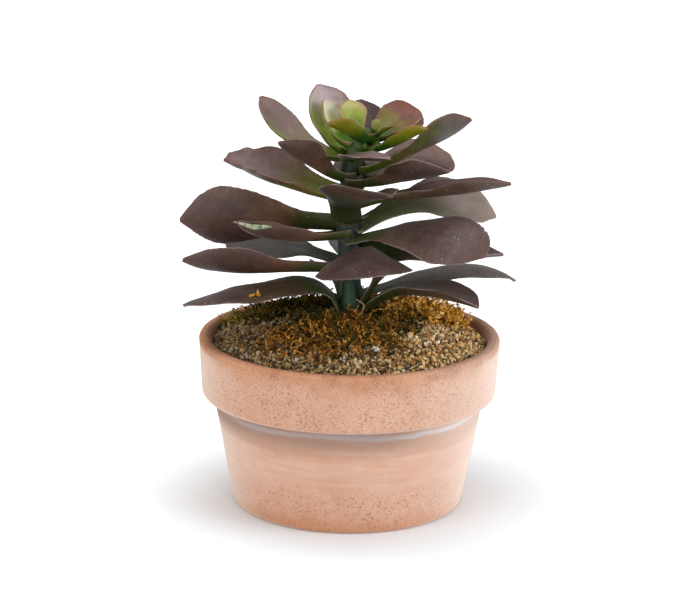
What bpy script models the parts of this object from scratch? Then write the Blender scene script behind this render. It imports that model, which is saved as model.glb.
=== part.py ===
"""A potted succulent: a leafy stem with a green crown, standing in a terracotta pan of grit.

Metres, +Z up. The origin is the centre of the pot's foot, on the surface that it stands on.
The plant's best side faces -Y. Azimuths run from +X, its right, towards +Y, its back.
"""

import math
import random
from collections import namedtuple

import bmesh
import bpy
from mathutils import Matrix, Vector

MM = 0.001
GAP = 0.3 * MM  # the clearance that touching pieces keep

# Pot: a 120 mm terracotta pan with a deep rim band.
RIM_RADIUS = 60 * MM
POT_HEIGHT = 68 * MM
BAND_HEIGHT = 23.4 * MM
BAND_FOOT_RADIUS = 58.7 * MM
NECK_RADIUS = 54.2 * MM
FOOT_RADIUS = 46.0 * MM
LIP_WIDTH = 4.6 * MM
FLOOR_HEIGHT = 7 * MM
FLOOR_RADIUS = 41.8 * MM
EDGE_ROUNDING = 1.8 * MM
POT_SIDES = 48

# Grit: it fills the pot to a little under the lip and rises to the stem.
FILL_EDGE_HEIGHT = 63 * MM
MOUND_RISE = 12.3 * MM
GRIT_RELIEF = 0.6 * MM
GRIT_PITCH = 8 * MM
FILL_RINGS = 16
FILL_SIDES = 48
HOLE_SIDES = 24
HOLE_FACET_ALLOWANCE = 0.1 * MM

# Stem: its axis leans to the right at the top. Each point is x, y, z and the radius there, in mm.
STEM_AXIS_MM = (
    (0.5, 0.0, 38.0, 3.4),
    (0.5, 0.0, 70.0, 4.3),
    (0.4, 0.0, 80.0, 4.6),
    (0.2, 0.0, 90.0, 4.0),
    (-0.8, 0.0, 102.0, 4.1),
    (-1.0, 0.0, 112.0, 4.2),
    (-0.4, 0.0, 124.0, 4.1),
    (0.2, 0.0, 134.0, 4.3),
    (1.2, 0.0, 140.0, 4.2),
    (3.4, 0.0, 145.0, 3.7),
    (7.6, 0.0, 150.0, 2.4),
)
STEM_RINGS = 34
STEM_BEVEL_RESOLUTION = 4  # a 12-sided stem

# Bud: the newest leaves, still furled round each other, on the stem's end.
BUD_RADIUS = 2.4 * MM
BUD_LENGTH = 4.8 * MM
BUD_FURLED_LEAVES = 3
BUD_FOLD_DEPTH = 0.24
BUD_TWIST = 1.6
BUD_TAPER = 0.35

# Leaf outlines: share of the length, then share of the half-width.
SPOON = ((0, 0.40), (0.14, 0.40), (0.28, 0.50), (0.42, 0.72), (0.55, 0.94), (0.66, 1.0),
         (0.77, 0.93), (0.87, 0.68), (0.94, 0.36), (1.0, 0.045))
PADDLE = ((0, 0.34), (0.15, 0.38), (0.3, 0.56), (0.45, 0.80), (0.6, 0.97), (0.72, 1.0),
          (0.84, 0.86), (0.93, 0.55), (1.0, 0.06))
FAN = ((0, 0.24), (0.14, 0.22), (0.26, 0.34), (0.36, 0.72), (0.48, 0.97), (0.60, 1.0),
       (0.74, 0.90), (0.87, 0.66), (0.95, 0.40), (1.0, 0.05))
TORN = ((0, 0.46), (0.15, 0.52), (0.3, 0.68), (0.45, 0.88), (0.6, 1.0), (0.72, 0.96),
        (0.82, 0.66), (0.88, 0.62), (0.94, 0.40), (1.0, 0.22))
CUPPED = ((0, 0.54), (0.15, 0.58), (0.3, 0.70), (0.45, 0.86), (0.6, 0.98), (0.72, 1.0),
          (0.84, 0.84), (0.93, 0.54), (1.0, 0.06))
LEAF_LENGTH_STEPS = 12
LEAF_WIDTH_STEPS = 4
RIB_THICKNESS = 1.9 * MM
EDGE_THICKNESS = 0.7 * MM
TIP_THINNING = 0.55
EDGE_WAVE = 0.45 * MM
EDGE_WAVES_FEWEST = 2.2
EDGE_WAVES_MOST = 3.4
EDGE_WAVE_LAG = 1.6
EDGE_RAGGEDNESS = 0.04

# One row a leaf. height: where it leaves the stem, mm. azimuth: where it points, degrees.
# length, width: mm. rise: its slope at STATIONS, degrees. sweep: how far it has turned
# sideways at STATIONS. roll: how far its left side is lifted at the root and at the tip,
# seen from the stem. cup: half the angle that its cross-section bends through, edges up.
STATIONS = (0, 0.25, 0.6, 1)
STRAIGHT = (0, 0, 0, 0)
Leaf = namedtuple("Leaf", "name height azimuth length width rise sweep roll cup outline")
LEAVES = (
    # base whorl
    Leaf("leaf_base_left", 80.5, 202, 70, 24, (60, 3, -4, -12), STRAIGHT, (-18, 10), -14, CUPPED),
    Leaf("leaf_base_right_front", 79, 345, 52.5, 26, (44, 16, -2, -8), (0, -7, -17, -23),
         (0, -10), 35, SPOON),
    Leaf("leaf_base_right_back", 84.8, 35, 71, 23, (7, 9.5, 1, -42), (0, -11, -17, -20), (0, 0), -20, SPOON),
    Leaf("leaf_base_front", 81.3, 322, 65, 23, (60, 50, -6, -38), (0, 0, -133, -160),
         (-5, -26), -18, FAN),
    Leaf("leaf_base_back", 81, 102, 50, 22, (30, 10, -10, -20), (0, -2, -4, -6), (0, 0), 35, SPOON),
    # lower whorl
    Leaf("leaf_lower_left", 95.8, 187, 62, 23, (0, -1, 4, 16), (0, -1, -3, -4), (20, 45), 40, SPOON),
    Leaf("leaf_lower_back_left", 98, 145, 58, 25, (10, 1, -6, -14), STRAIGHT, (0, -25), -15, SPOON),
    Leaf("leaf_lower_right", 102, 345, 57, 24, (12, 2, -2, -2), (0, 6, 15, 25), (42, -5), 25, CUPPED),
    Leaf("leaf_lower_back", 94, 90, 50, 19, (6, 0, -4, -8), STRAIGHT, (0, 0), 35, SPOON),
    # middle whorl
    Leaf("leaf_middle_left", 113.3, 179, 62, 29, (2, 2, 0, -4), STRAIGHT, (45, 75), 22, SPOON),
    Leaf("leaf_middle_left_front", 109.4, 210, 46, 20, (0, 4, 14, 45), (0, -1, -2, -3), (10, 20), 50, SPOON),
    Leaf("leaf_middle_right_front", 108.8, 328, 59.5, 29.5, (20, 12, -4, -42), (0, 1, 2, 3),
         (12, 34), -25, PADDLE),
    Leaf("leaf_middle_right_back", 111.7, 22, 61, 27, (26, 16, -9, -35), (0, -3, -5, -6),
         (10, 36), 15, SPOON),
    Leaf("leaf_middle_back", 108.3, 103, 46, 20, (4, -4, -10, -20), STRAIGHT, (0, 0), 35, SPOON),
    # upper whorl
    Leaf("leaf_upper_front", 116, 260, 56, 32, (58, 22, 14, 14), (0, 16, 37, 62), (0, -12), 32, SPOON),
    Leaf("leaf_upper_right", 121.8, 358, 59, 22, (16, 6, 8, 14), STRAIGHT, (0, -10), 45, SPOON),
    Leaf("leaf_upper_left", 124, 168, 47.5, 29, (10, 16, 17, 16), STRAIGHT, (-10, -12), 50, TORN),
    Leaf("leaf_upper_back", 121, 85, 46, 20, (16, 12, 8, 4), STRAIGHT, (0, 0), 35, SPOON),
    # shoulder whorl
    Leaf("leaf_shoulder_left_front", 133, 214, 33, 21, (20, 32, 34, 30), STRAIGHT, (10, 20), 40, SPOON),
    Leaf("leaf_shoulder_right_front", 130.7, 324.5, 42, 25.5, (9, 14, 16, 14), STRAIGHT,
         (0, -20), 45, SPOON),
    Leaf("leaf_shoulder_right_back", 129.1, 37.5, 46, 27, (14, 11, 5, 1), STRAIGHT, (0, 26), 15, PADDLE),
    Leaf("leaf_shoulder_right", 135, 17.5, 47.5, 32, (14, 20, 24, 34), STRAIGHT,
         (-10, -40), 30, SPOON),
    Leaf("leaf_shoulder_back", 136.6, 86, 43, 20, (16, 24, 28, 26), STRAIGHT, (0, 0), 35, SPOON),
    Leaf("leaf_shoulder_left", 139, 150, 45.5, 15.5, (2, 14, 38, 63), STRAIGHT, (0, -20), 45, CUPPED),
    # crown
    Leaf("leaf_crown_front", 141, 246, 35, 12, (20, 12, 4, 10), (0, 32, 74, 92), (0, 0), 25, PADDLE),
    Leaf("leaf_crown_left", 142, 134, 31, 25, (10, 45, 70, 84), STRAIGHT, (0, 0), 50, CUPPED),
    Leaf("leaf_crown_right", 144.1, 338, 25.2, 12, (12, 22, 29, 29), (0, 0, 0, 0), (0, -20), 45, CUPPED),
    Leaf("leaf_crown_right_back", 145.6, 51, 28, 21, (8, 16, 24, 30), (0, -6, -18, -28),
         (0, 35), 40, PADDLE),
    Leaf("leaf_crown_inner_left", 145, 147, 20, 14, (20, 50, 65, 70), STRAIGHT, (0, 0), 50, CUPPED),
    Leaf("leaf_crown_inner_back", 147.6, 123, 15.5, 12.5, (30, 56, 68, 76), (0, -2, -5, -8),
         (0, 0), 50, CUPPED),
    Leaf("leaf_crown_inner_right", 148, 4, 19, 12, (10, 24, 32, 38), (0, 2, 4, 6), (0, 20), 45, CUPPED),
    Leaf("leaf_crown_inner_front", 148.5, 245, 20, 13, (14, 30, 26, 16), (0, -14, -36, -54),
         (10, 25), 45, CUPPED),
)


def lerp(a, b, t):
    return a + (b - a) * t


def smooth_line(knots, x):
    """The values at x on a smooth curve through knots of (x, value, ...), kept between the ends."""
    last = len(knots) - 1
    right = next((k for k in range(1, last) if x <= knots[k][0]), last)
    left = right - 1
    start, end = knots[left], knots[right]
    before, after = knots[max(left - 1, 0)], knots[min(right + 1, last)]
    span = end[0] - start[0]
    t = min(max((x - start[0]) / span, 0), 1)
    ease = t * t * (3 - 2 * t)
    values = []
    for k in range(1, len(start)):
        slope_in = (end[k] - before[k]) / (end[0] - before[0]) * span
        slope_out = (after[k] - start[k]) / (after[0] - start[0]) * span
        bend = t * (1 - t) ** 2 * slope_in - t * t * (1 - t) * slope_out
        values.append(lerp(start[k], end[k], ease) + bend)
    return values


def stem_at(height):
    """The stem's axis point and radius at a height, in metres."""
    knots = [(z, x, y, r) for x, y, z, r in STEM_AXIS_MM]
    x, y, r = smooth_line(knots, height / MM)
    return Vector((x * MM, y * MM, height)), r * MM


def stem_lean(height):
    """How far the stem's axis moves to the right for each metre that it climbs."""
    return (stem_at(height + MM)[0].x - stem_at(height - MM)[0].x) / (2 * MM)


def clear_scene():
    for obj in list(bpy.data.objects):
        bpy.data.objects.remove(obj, do_unlink=True)


def collection_named(name, shown=True):
    made = bpy.data.collections.new(name)
    made.hide_render = not shown
    bpy.context.scene.collection.children.link(made)
    return made


def material(name, colour, roughness):
    made = bpy.data.materials.new(name)
    made.use_nodes = True
    shader = made.node_tree.nodes["Principled BSDF"]
    shader.inputs["Base Color"].default_value = (*colour, 1)
    shader.inputs["Roughness"].default_value = roughness
    shader.inputs["Metallic"].default_value = 0
    return made


def mesh_object(name, bm, home, finish):
    mesh = bpy.data.meshes.new(name)
    bm.to_mesh(mesh)
    bm.free()
    obj = bpy.data.objects.new(name, mesh)
    if finish:
        mesh.materials.append(finish)
    home.objects.link(obj)
    return obj


def rounded_corner(corner, before, after, radius, steps=3):
    """Points of an arc that rounds a profile's corner."""
    corner, before, after = Vector(corner), Vector(before), Vector(after)
    start = corner + (before - corner).normalized() * radius
    end = corner + (after - corner).normalized() * radius
    return [
        tuple(start * (1 - t) ** 2 + corner * 2 * t * (1 - t) + end * t**2)
        for t in (k / steps for k in range(steps + 1))
    ]


def pot_inner_radius(height):
    """The inner wall is one straight taper from the lip to the floor."""
    share = (height - FLOOR_HEIGHT) / (POT_HEIGHT - FLOOR_HEIGHT)
    return lerp(FLOOR_RADIUS, RIM_RADIUS - LIP_WIDTH, share)


def pot_profile():
    """The pot's section as (radius, height), from the floor's centre over the lip to the foot's centre."""
    band_foot = POT_HEIGHT - BAND_HEIGHT
    floor_centre = (0, FLOOR_HEIGHT)
    floor_corner = (FLOOR_RADIUS, FLOOR_HEIGHT)
    lip_in = (RIM_RADIUS - LIP_WIDTH, POT_HEIGHT)
    lip_out = (RIM_RADIUS, POT_HEIGHT)
    band_low = (BAND_FOOT_RADIUS, band_foot)
    neck = (NECK_RADIUS, band_foot)
    foot = (FOOT_RADIUS, 0)
    foot_centre = (0, 0)
    return [
        floor_centre,
        *rounded_corner(floor_corner, floor_centre, lip_in, EDGE_ROUNDING, 2),
        *rounded_corner(lip_in, floor_corner, lip_out, EDGE_ROUNDING),
        *rounded_corner(lip_out, lip_in, band_low, EDGE_ROUNDING),
        *rounded_corner(band_low, lip_out, neck, EDGE_ROUNDING),
        neck,
        *rounded_corner(foot, neck, foot_centre, EDGE_ROUNDING),
        foot_centre,
    ]


def make_pot(home, finish):
    """The pot is its section turned round the Z axis."""
    bm = bmesh.new()
    points = [bm.verts.new((r, 0, z)) for r, z in pot_profile()]
    for a, b in zip(points, points[1:]):
        bm.edges.new((a, b))
    pot = mesh_object("pot", bm, home, finish)
    turn = pot.modifiers.new("turn", "SCREW")
    turn.steps = POT_SIDES
    turn.render_steps = POT_SIDES
    turn.use_merge_vertices = True
    turn.merge_threshold = 0.02 * MM
    return pot


def grit_noise(x, y):
    """Lumps a few millimetres across, from -1 to 1, by crossed waves at odd angles."""
    k = 2 * math.pi / GRIT_PITCH
    a = math.sin(k * (0.94 * x + 0.34 * y)) * math.sin(k * (0.91 * y - 0.41 * x) + 1.3)
    b = math.sin(k * 1.31 * (0.5 * x - 0.87 * y) + 0.7) * math.sin(k * 1.23 * (0.8 * x + 0.6 * y))
    return (a + b) / 2


def mound_height(x, y):
    """The fill's smooth surface."""
    share = math.hypot(x, y) / pot_inner_radius(FILL_EDGE_HEIGHT)
    return FILL_EDGE_HEIGHT + MOUND_RISE * (1 - share**2)


def make_fill(home, cutters, finish):
    """The grit as one body: a plug that follows the pot's inside, with a lumpy mound on top."""
    bm = bmesh.new()
    rings = []
    edge = pot_inner_radius(FILL_EDGE_HEIGHT) - GAP
    for ring in range(1, FILL_RINGS + 1):
        radius = edge * ring / FILL_RINGS
        verts = []
        for side in range(FILL_SIDES):
            turn = 2 * math.pi * side / FILL_SIDES
            x, y = radius * math.cos(turn), radius * math.sin(turn)
            relief = 0 if ring == FILL_RINGS else GRIT_RELIEF * grit_noise(x, y)
            verts.append(bm.verts.new((x, y, mound_height(x, y) + relief)))
        rings.append(verts)
    low = FLOOR_HEIGHT + GAP
    low_radius = pot_inner_radius(low) - EDGE_ROUNDING
    rings.append([
        bm.verts.new((low_radius * math.cos(t), low_radius * math.sin(t), low))
        for t in (2 * math.pi * side / FILL_SIDES for side in range(FILL_SIDES))
    ])
    for inner, outer in zip(rings, rings[1:]):
        for k in range(FILL_SIDES):
            n = (k + 1) % FILL_SIDES
            bm.faces.new((inner[k], outer[k], outer[n], inner[n]))
    top = bm.verts.new((0, 0, mound_height(0, 0)))
    bottom = bm.verts.new((0, 0, low))
    for k in range(FILL_SIDES):
        n = (k + 1) % FILL_SIDES
        bm.faces.new((top, rings[0][k], rings[0][n]))
        bm.faces.new((bottom, rings[-1][n], rings[-1][k]))
    fill = mesh_object("grit_fill", bm, home, finish)
    hole = stem_hole(cutters)
    cut = fill.modifiers.new("stem hole", "BOOLEAN")
    cut.operation = "DIFFERENCE"
    cut.solver = "EXACT"
    cut.object = hole
    return fill


def stem_hole(cutters):
    """The plain round hole that the stem stands in, as wide as the stem's thickest buried part."""
    floor = STEM_AXIS_MM[0][2] * MM - GAP
    top = FILL_EDGE_HEIGHT + MOUND_RISE + GRIT_RELIEF
    stations = [lerp(floor, top, k / STEM_RINGS) for k in range(STEM_RINGS + 1)]
    radius = max(stem_at(height)[1] for height in stations) + GAP + HOLE_FACET_ALLOWANCE
    depth = top - floor + 2 * MM
    bm = bmesh.new()
    bmesh.ops.create_cone(
        bm, cap_ends=True, segments=HOLE_SIDES, radius1=radius, radius2=radius, depth=depth
    )
    axis, _ = stem_at(floor)
    bmesh.ops.translate(bm, verts=bm.verts, vec=(axis.x, axis.y, floor + depth / 2))
    hole = mesh_object("stem_hole", bm, cutters, None)
    hole.display_type = "WIRE"
    hole.hide_render = True
    return hole


def make_stem(home, finish):
    """The stem is one tube, thicker at the leaf scars."""
    curve = bpy.data.curves.new("stem", "CURVE")
    curve.dimensions = "3D"
    curve.bevel_depth = 1
    curve.bevel_resolution = STEM_BEVEL_RESOLUTION
    curve.use_fill_caps = True
    spline = curve.splines.new("POLY")
    spline.points.add(STEM_RINGS - 1)
    low, high = STEM_AXIS_MM[0][2] * MM, STEM_AXIS_MM[-1][2] * MM
    for k, point in enumerate(spline.points):
        place, radius = stem_at(lerp(low, high, k / (STEM_RINGS - 1)))
        point.co = (*place, 1)
        point.radius = radius
    obj = bpy.data.objects.new("stem", curve)
    curve.materials.append(finish)
    home.objects.link(obj)
    return obj


def make_bud(home, finish):
    """A sphere drawn to a point, with a spiral fold between each two of its furled leaves."""
    bm = bmesh.new()
    bmesh.ops.create_uvsphere(bm, u_segments=18, v_segments=10, radius=1)
    for vert in bm.verts:
        turn, climb = math.atan2(vert.co.y, vert.co.x), vert.co.z
        fold = 0.5 + 0.5 * math.cos(BUD_FURLED_LEAVES * turn + BUD_TWIST * climb)
        width = BUD_RADIUS * (1 - BUD_FOLD_DEPTH * fold) * (1 - BUD_TAPER * max(climb, 0))
        vert.co = Vector((vert.co.x * width, vert.co.y * width, climb * BUD_LENGTH / 2))
    tip, _ = stem_at(STEM_AXIS_MM[-1][2] * MM)
    below, _ = stem_at(STEM_AXIS_MM[-1][2] * MM - MM)
    along = (tip - below).normalized()
    bmesh.ops.rotate(bm, verts=bm.verts, matrix=Vector((0, 0, 1)).rotation_difference(along).to_matrix())
    bmesh.ops.translate(bm, verts=bm.verts, vec=tip + along * (BUD_LENGTH / 2 + GAP))
    return mesh_object("leaf_crown_bud", bm, home, finish)


def leaf_root(leaf):
    """The rib's first point, as near the stem as the root's raised edges and lower corner allow."""
    centre, radius = stem_at(leaf.height * MM)
    turn = math.radians(leaf.azimuth)
    overhang = stem_lean(leaf.height * MM) * math.cos(turn)
    half_width = leaf.width / 2 * MM * leaf.outline[0][1]
    edge_rise = half_width * max(math.sin(math.radians(leaf.cup)), 0) / 2
    steepness = abs(math.sin(math.radians(leaf.rise[0])))
    stand_off = radius * math.hypot(1, overhang) + GAP
    stand_off += RIB_THICKNESS * max(-overhang, 0) + edge_rise * steepness
    return centre + Vector((math.cos(turn), math.sin(turn), 0)) * stand_off


def leaf_frames(leaf):
    """Rib points from root to tip, each with the blade's sideways and upward directions."""
    steps = LEAF_LENGTH_STEPS
    point = leaf_root(leaf)
    course = list(zip(STATIONS, leaf.rise, leaf.sweep))
    frames = []
    for k in range(steps + 1):
        u = k / steps
        rise, turned = smooth_line(course, u)
        a = math.radians(leaf.azimuth + turned)
        e = math.radians(rise)
        along = Vector((math.cos(e) * math.cos(a), math.cos(e) * math.sin(a), math.sin(e)))
        side = Vector((-math.sin(a), math.cos(a), 0))
        tilt = Matrix.Rotation(math.radians(lerp(*leaf.roll, u)), 3, along)
        frames.append((u, point.copy(), tilt @ side, tilt @ along.cross(side)))
        point += along * (leaf.length * MM / steps)
    return frames


def make_leaf(leaf, home, finish):
    """A grid bent to the leaf's outline, rib and cup, thickened below, most along the rib."""
    bm = bmesh.new()
    bmesh.ops.create_grid(bm, x_segments=LEAF_LENGTH_STEPS, y_segments=LEAF_WIDTH_STEPS, size=1)
    frames = leaf_frames(leaf)
    cup = math.radians(leaf.cup)
    draw = random.Random(leaf.name)
    phase = draw.uniform(0, 2 * math.pi)
    waves = draw.uniform(EDGE_WAVES_FEWEST, EDGE_WAVES_MOST)
    thick = {}
    for vert in bm.verts:
        step = round((vert.co.x + 1) / 2 * LEAF_LENGTH_STEPS)
        across = vert.co.y
        u, rib, side, up = frames[step]
        half = leaf.width / 2 * MM * smooth_line(leaf.outline, u)[0]
        half *= 1 + draw.uniform(-1, 1) * EDGE_RAGGEDNESS * abs(across)
        lateral = half / cup * math.sin(across * cup)
        lift = half / cup * (1 - math.cos(across * cup))
        swing = math.sin(2 * math.pi * waves * u + phase + EDGE_WAVE_LAG * across)
        lift += EDGE_WAVE * swing * across**2 * min(1, 3 * u, 3 * (1 - u))
        vert.co = rib + side * lateral + up * lift
        thick[vert.index] = (1 - across**2) * (1 - TIP_THINNING * u)
    obj = mesh_object(leaf.name, bm, home, finish)
    weights = obj.vertex_groups.new(name="thickness")
    for index, weight in thick.items():
        weights.add([index], weight, "REPLACE")
    obj.modifiers.new("facets", "TRIANGULATE")
    solid = obj.modifiers.new("blade", "SOLIDIFY")
    solid.thickness = RIB_THICKNESS
    solid.thickness_vertex_group = EDGE_THICKNESS / RIB_THICKNESS
    solid.vertex_group = "thickness"
    solid.offset = -1
    return obj


def main():
    clear_scene()
    home = collection_named("potted_succulent")
    cutters = collection_named("cutters", shown=False)
    terracotta = material("terracotta", (0.72, 0.43, 0.30), 0.85)
    grit = material("grit", (0.36, 0.27, 0.17), 0.95)
    green_stem = material("stem green", (0.06, 0.11, 0.06), 0.5)
    purple_leaf = material("leaf purple", (0.16, 0.11, 0.11), 0.45)
    green_leaf = material("leaf green", (0.20, 0.26, 0.07), 0.45)
    make_pot(home, terracotta)
    make_fill(home, cutters, grit)
    make_stem(home, green_stem)
    make_bud(home, green_leaf)
    for leaf in LEAVES:
        make_leaf(leaf, home, green_leaf if "crown" in leaf.name else purple_leaf)


main()
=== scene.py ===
# %% [markdown]
# # A potted succulent
# A dusky rosette on a green stalk, standing in a terracotta pan of grit, with moss round its foot.
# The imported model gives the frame: its nodes are plain solids of the right size in the right place.
# Each cell dresses one of them, or adds what no solid holds: loose grains, moss and a dry rootlet.

# %% Load the frame
import math
import random
from collections import namedtuple

import bpy
import numpy as np
from mathutils import Matrix, Vector, noise


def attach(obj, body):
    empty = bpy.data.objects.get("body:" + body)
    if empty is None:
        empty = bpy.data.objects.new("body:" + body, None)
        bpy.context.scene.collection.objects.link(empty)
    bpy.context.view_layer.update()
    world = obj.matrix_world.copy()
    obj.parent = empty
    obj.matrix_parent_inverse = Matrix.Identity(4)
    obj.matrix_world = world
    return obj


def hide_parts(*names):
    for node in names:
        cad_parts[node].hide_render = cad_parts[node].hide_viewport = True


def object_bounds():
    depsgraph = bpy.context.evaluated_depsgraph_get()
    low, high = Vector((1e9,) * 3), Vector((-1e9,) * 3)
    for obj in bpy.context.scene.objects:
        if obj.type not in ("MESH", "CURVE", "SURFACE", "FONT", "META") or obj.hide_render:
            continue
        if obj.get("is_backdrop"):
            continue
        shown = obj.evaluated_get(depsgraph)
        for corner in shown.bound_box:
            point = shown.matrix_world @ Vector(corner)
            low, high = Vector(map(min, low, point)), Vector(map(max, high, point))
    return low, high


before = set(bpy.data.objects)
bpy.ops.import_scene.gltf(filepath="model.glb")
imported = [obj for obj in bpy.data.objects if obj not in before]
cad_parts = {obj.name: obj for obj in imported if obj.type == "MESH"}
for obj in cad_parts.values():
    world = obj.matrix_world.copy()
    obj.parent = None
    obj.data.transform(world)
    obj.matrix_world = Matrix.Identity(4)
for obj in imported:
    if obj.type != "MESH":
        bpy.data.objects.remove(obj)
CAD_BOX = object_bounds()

MM = 0.001
print("nodes to dress:", len(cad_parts))
print("box, mm:", [round(c / MM, 1) for corner in CAD_BOX for c in corner])

# %% [markdown]
# ## Camera
# A product photograph of a small plant is taken with a long lens from about a metre away, a little
# above the rim, so that the grit shows. The height and tilt follow from the ellipse of the pot's rim.

# %% Place the camera
CAMERA_PLACE = (0.064 * MM, -1000 * MM, 355.13 * MM)
CAMERA_DIP = math.radians(15.356)
CAMERA_ROLL = math.radians(0.7586)
CAMERA_LENS_MM = 134.1

camera = bpy.data.objects.new("camera", bpy.data.cameras.new("camera"))
bpy.context.scene.collection.objects.link(camera)
camera.data.sensor_width = 36
camera.data.lens = CAMERA_LENS_MM
camera.data.clip_start = 0.01
level_turn = Matrix.Rotation(math.pi / 2 - CAMERA_DIP, 4, "X")
camera.matrix_world = Matrix.Translation(CAMERA_PLACE) @ level_turn @ Matrix.Rotation(CAMERA_ROLL, 4, "Z")
bpy.context.scene.camera = camera
print("camera", round(Vector(CAMERA_PLACE).length, 3), "m from the pot's foot")

# %% [markdown]
# ## Light and floor
# The studio is a white sweep under soft light. A bright world gives the even light that white
# walls throw. Two large lamps stand low in front, at the left and the right, so that little shadow
# hangs under the pot's band, and a weak lamp above lifts the crown. The shade that is left under
# the band is lifted by painted light in the terracotta's colour.

# %% Light the studio
WORLD_BRIGHTNESS = 0.46
LAMPS = {
    # name: (place, size in metres, watts, colour)
    "key": ((-0.90, -0.80, 0.42), 1.1, 8.0, (1.0, 1.0, 1.0)),
    "right fill": ((1.15, -0.45, 0.42), 1.1, 12.5, (0.94, 0.97, 1.0)),
    "top": ((0.0, 0.10, 1.15), 0.9, 4.5, (1.0, 1.0, 1.0)),
}
AIM = Vector((0, 0, 0.09))

bpy.context.scene.view_settings.view_transform = "Standard"
world = bpy.data.worlds.new("white studio")
bpy.context.scene.world = world
world.use_nodes = True
world.node_tree.nodes["Background"].inputs["Color"].default_value = (1, 1, 1, 1)
world.node_tree.nodes["Background"].inputs["Strength"].default_value = WORLD_BRIGHTNESS
for name, (place, size, watts, tint) in LAMPS.items():
    lamp = bpy.data.lights.new(name, "AREA")
    lamp.shape = "DISK"
    lamp.size = size
    lamp.energy = watts
    lamp.color = tint
    holder = bpy.data.objects.new(name, lamp)
    holder.location = place
    holder.rotation_euler = (AIM - Vector(place)).to_track_quat("-Z", "Y").to_euler()
    bpy.context.scene.collection.objects.link(holder)
print("lamps:", ", ".join(LAMPS))

# %% [markdown]
# ## Helpers for materials
# A node tree reads best as a list of formulas. `node` adds one node and fills its inputs: a plain
# number is set on the socket, and another node's output is linked to it. Each output comes back
# as a `Value`, so that `a * b` adds a Multiply node and a mask can be written as a sum.

# %% Values and nodes
class Value:
    """One output of a node. A sum with it adds a Math node to its tree."""

    def __init__(self, tree, socket):
        self.tree, self.socket = tree, socket

    def maths(self, operation, *numbers):
        return node(self.tree, "ShaderNodeMath", dict(enumerate(numbers)), operation=operation)[0]

    def __add__(self, other):
        return self.maths("ADD", self, other)

    def __mul__(self, other):
        return self.maths("MULTIPLY", self, other)

    def __sub__(self, other):
        return self.maths("SUBTRACT", self, other)

    def __rsub__(self, other):
        return self.maths("SUBTRACT", other, self)

    def __pow__(self, other):
        return self.maths("POWER", self, other)

    def __abs__(self):
        return self.maths("ABSOLUTE", self)

    __radd__, __rmul__ = __add__, __mul__

    def to(self, socket):
        self.tree.links.new(self.socket, socket)


class Step:
    """A node of a tree; step["Fac"] is that output as a value."""

    def __init__(self, tree, made):
        self.tree, self.made = tree, made

    def __getitem__(self, output):
        return Value(self.tree, self.made.outputs[output])


def node(tree, kind, inputs=None, **settings):
    made = tree.nodes.new(kind)
    for name, value in settings.items():
        setattr(made, name, value)
    for name, value in (inputs or {}).items():
        if isinstance(value, Value):
            value.to(made.inputs[name])
        else:
            made.inputs[name].default_value = value
    return Step(tree, made)


# %% Steps for numbers and vectors
def larger(first, second):
    return first.maths("MAXIMUM", first, second)


def ease(value, low, high):
    """A mask that rises smoothly from 0 at low to 1 at high."""
    inputs = {"Value": value, "From Min": low, "From Max": high}
    return node(value.tree, "ShaderNodeMapRange", inputs, interpolation_type="SMOOTHSTEP")[0]


def split(vector):
    parts = node(vector.tree, "ShaderNodeSeparateXYZ", {"Vector": vector})
    return parts[0], parts[1], parts[2]


def as_vector(tree, x=0, y=0, z=0):
    return node(tree, "ShaderNodeCombineXYZ", {"X": x, "Y": y, "Z": z})[0]


def vector_maths(operation, vector, by):
    """A vector changed by another, or by a number where the operation is SCALE."""
    inputs = {0: vector, "Scale" if operation == "SCALE" else 1: by}
    made = node(vector.tree, "ShaderNodeVectorMath", inputs, operation=operation)
    return made["Value" if operation == "DISTANCE" else 0]


def cloud(place, scale, detail=2, roughness=0.5):
    """Soft blotches; scale is how many fit in a metre."""
    inputs = {"Vector": place, "Scale": scale, "Detail": detail, "Roughness": roughness}
    return node(place.tree, "ShaderNodeTexNoise", inputs)["Fac"]


# %% Steps for colours and surfaces
def screen_colour(red, green, blue):
    """The linear colour of an 8-bit screen colour."""
    return (*(((c / 255 + 0.055) / 1.055) ** 2.4 if c > 10 else c / 3294.6 for c in (red, green, blue)), 1)


def mix(share, first, second):
    return node(share.tree, "ShaderNodeMix", {0: share, 6: first, 7: second}, data_type="RGBA")[2]


def brightened(colour, value):
    return node(colour.tree, "ShaderNodeHueSaturation", {"Value": value, "Color": colour})[0]


def ramp(value, stops, held=False):
    """Screen colours by position, blended from one to the next, or each held until the next."""
    made = value.tree.nodes.new("ShaderNodeValToRGB")
    value.to(made.inputs["Fac"])
    made.color_ramp.interpolation = "CONSTANT" if held else "LINEAR"
    points = made.color_ramp.elements
    while len(points) < len(stops):
        points.new(0.5)
    for point, (position, colour) in zip(points, stops):
        point.position = position
        point.color = screen_colour(*colour)
    return Value(value.tree, made.outputs["Color"])


def bump(height, depth, under=None):
    """A Normal from a height map; depth is in metres."""
    inputs = {"Height": height, "Distance": depth, "Strength": 1.0}
    if under is not None:
        inputs["Normal"] = under
    return node(height.tree, "ShaderNodeBump", inputs)["Normal"]


def attribute(tree, name, output="Fac"):
    return node(tree, "ShaderNodeAttribute", attribute_name=name)[output]


def facing(tree, blend):
    """0 where the surface faces the eye, 1 where it turns away."""
    return node(tree, "ShaderNodeLayerWeight", {"Blend": blend})["Facing"]


def new_material(name, roughness, specular):
    """A material, its Object coordinates and its shader's sockets."""
    made = bpy.data.materials.new(name)
    made.use_nodes = True
    shader = made.node_tree.nodes["Principled BSDF"].inputs
    shader["Roughness"].default_value = roughness
    shader["Specular IOR Level"].default_value = specular
    return made, node(made.node_tree, "ShaderNodeTexCoord")["Object"], shader


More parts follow.
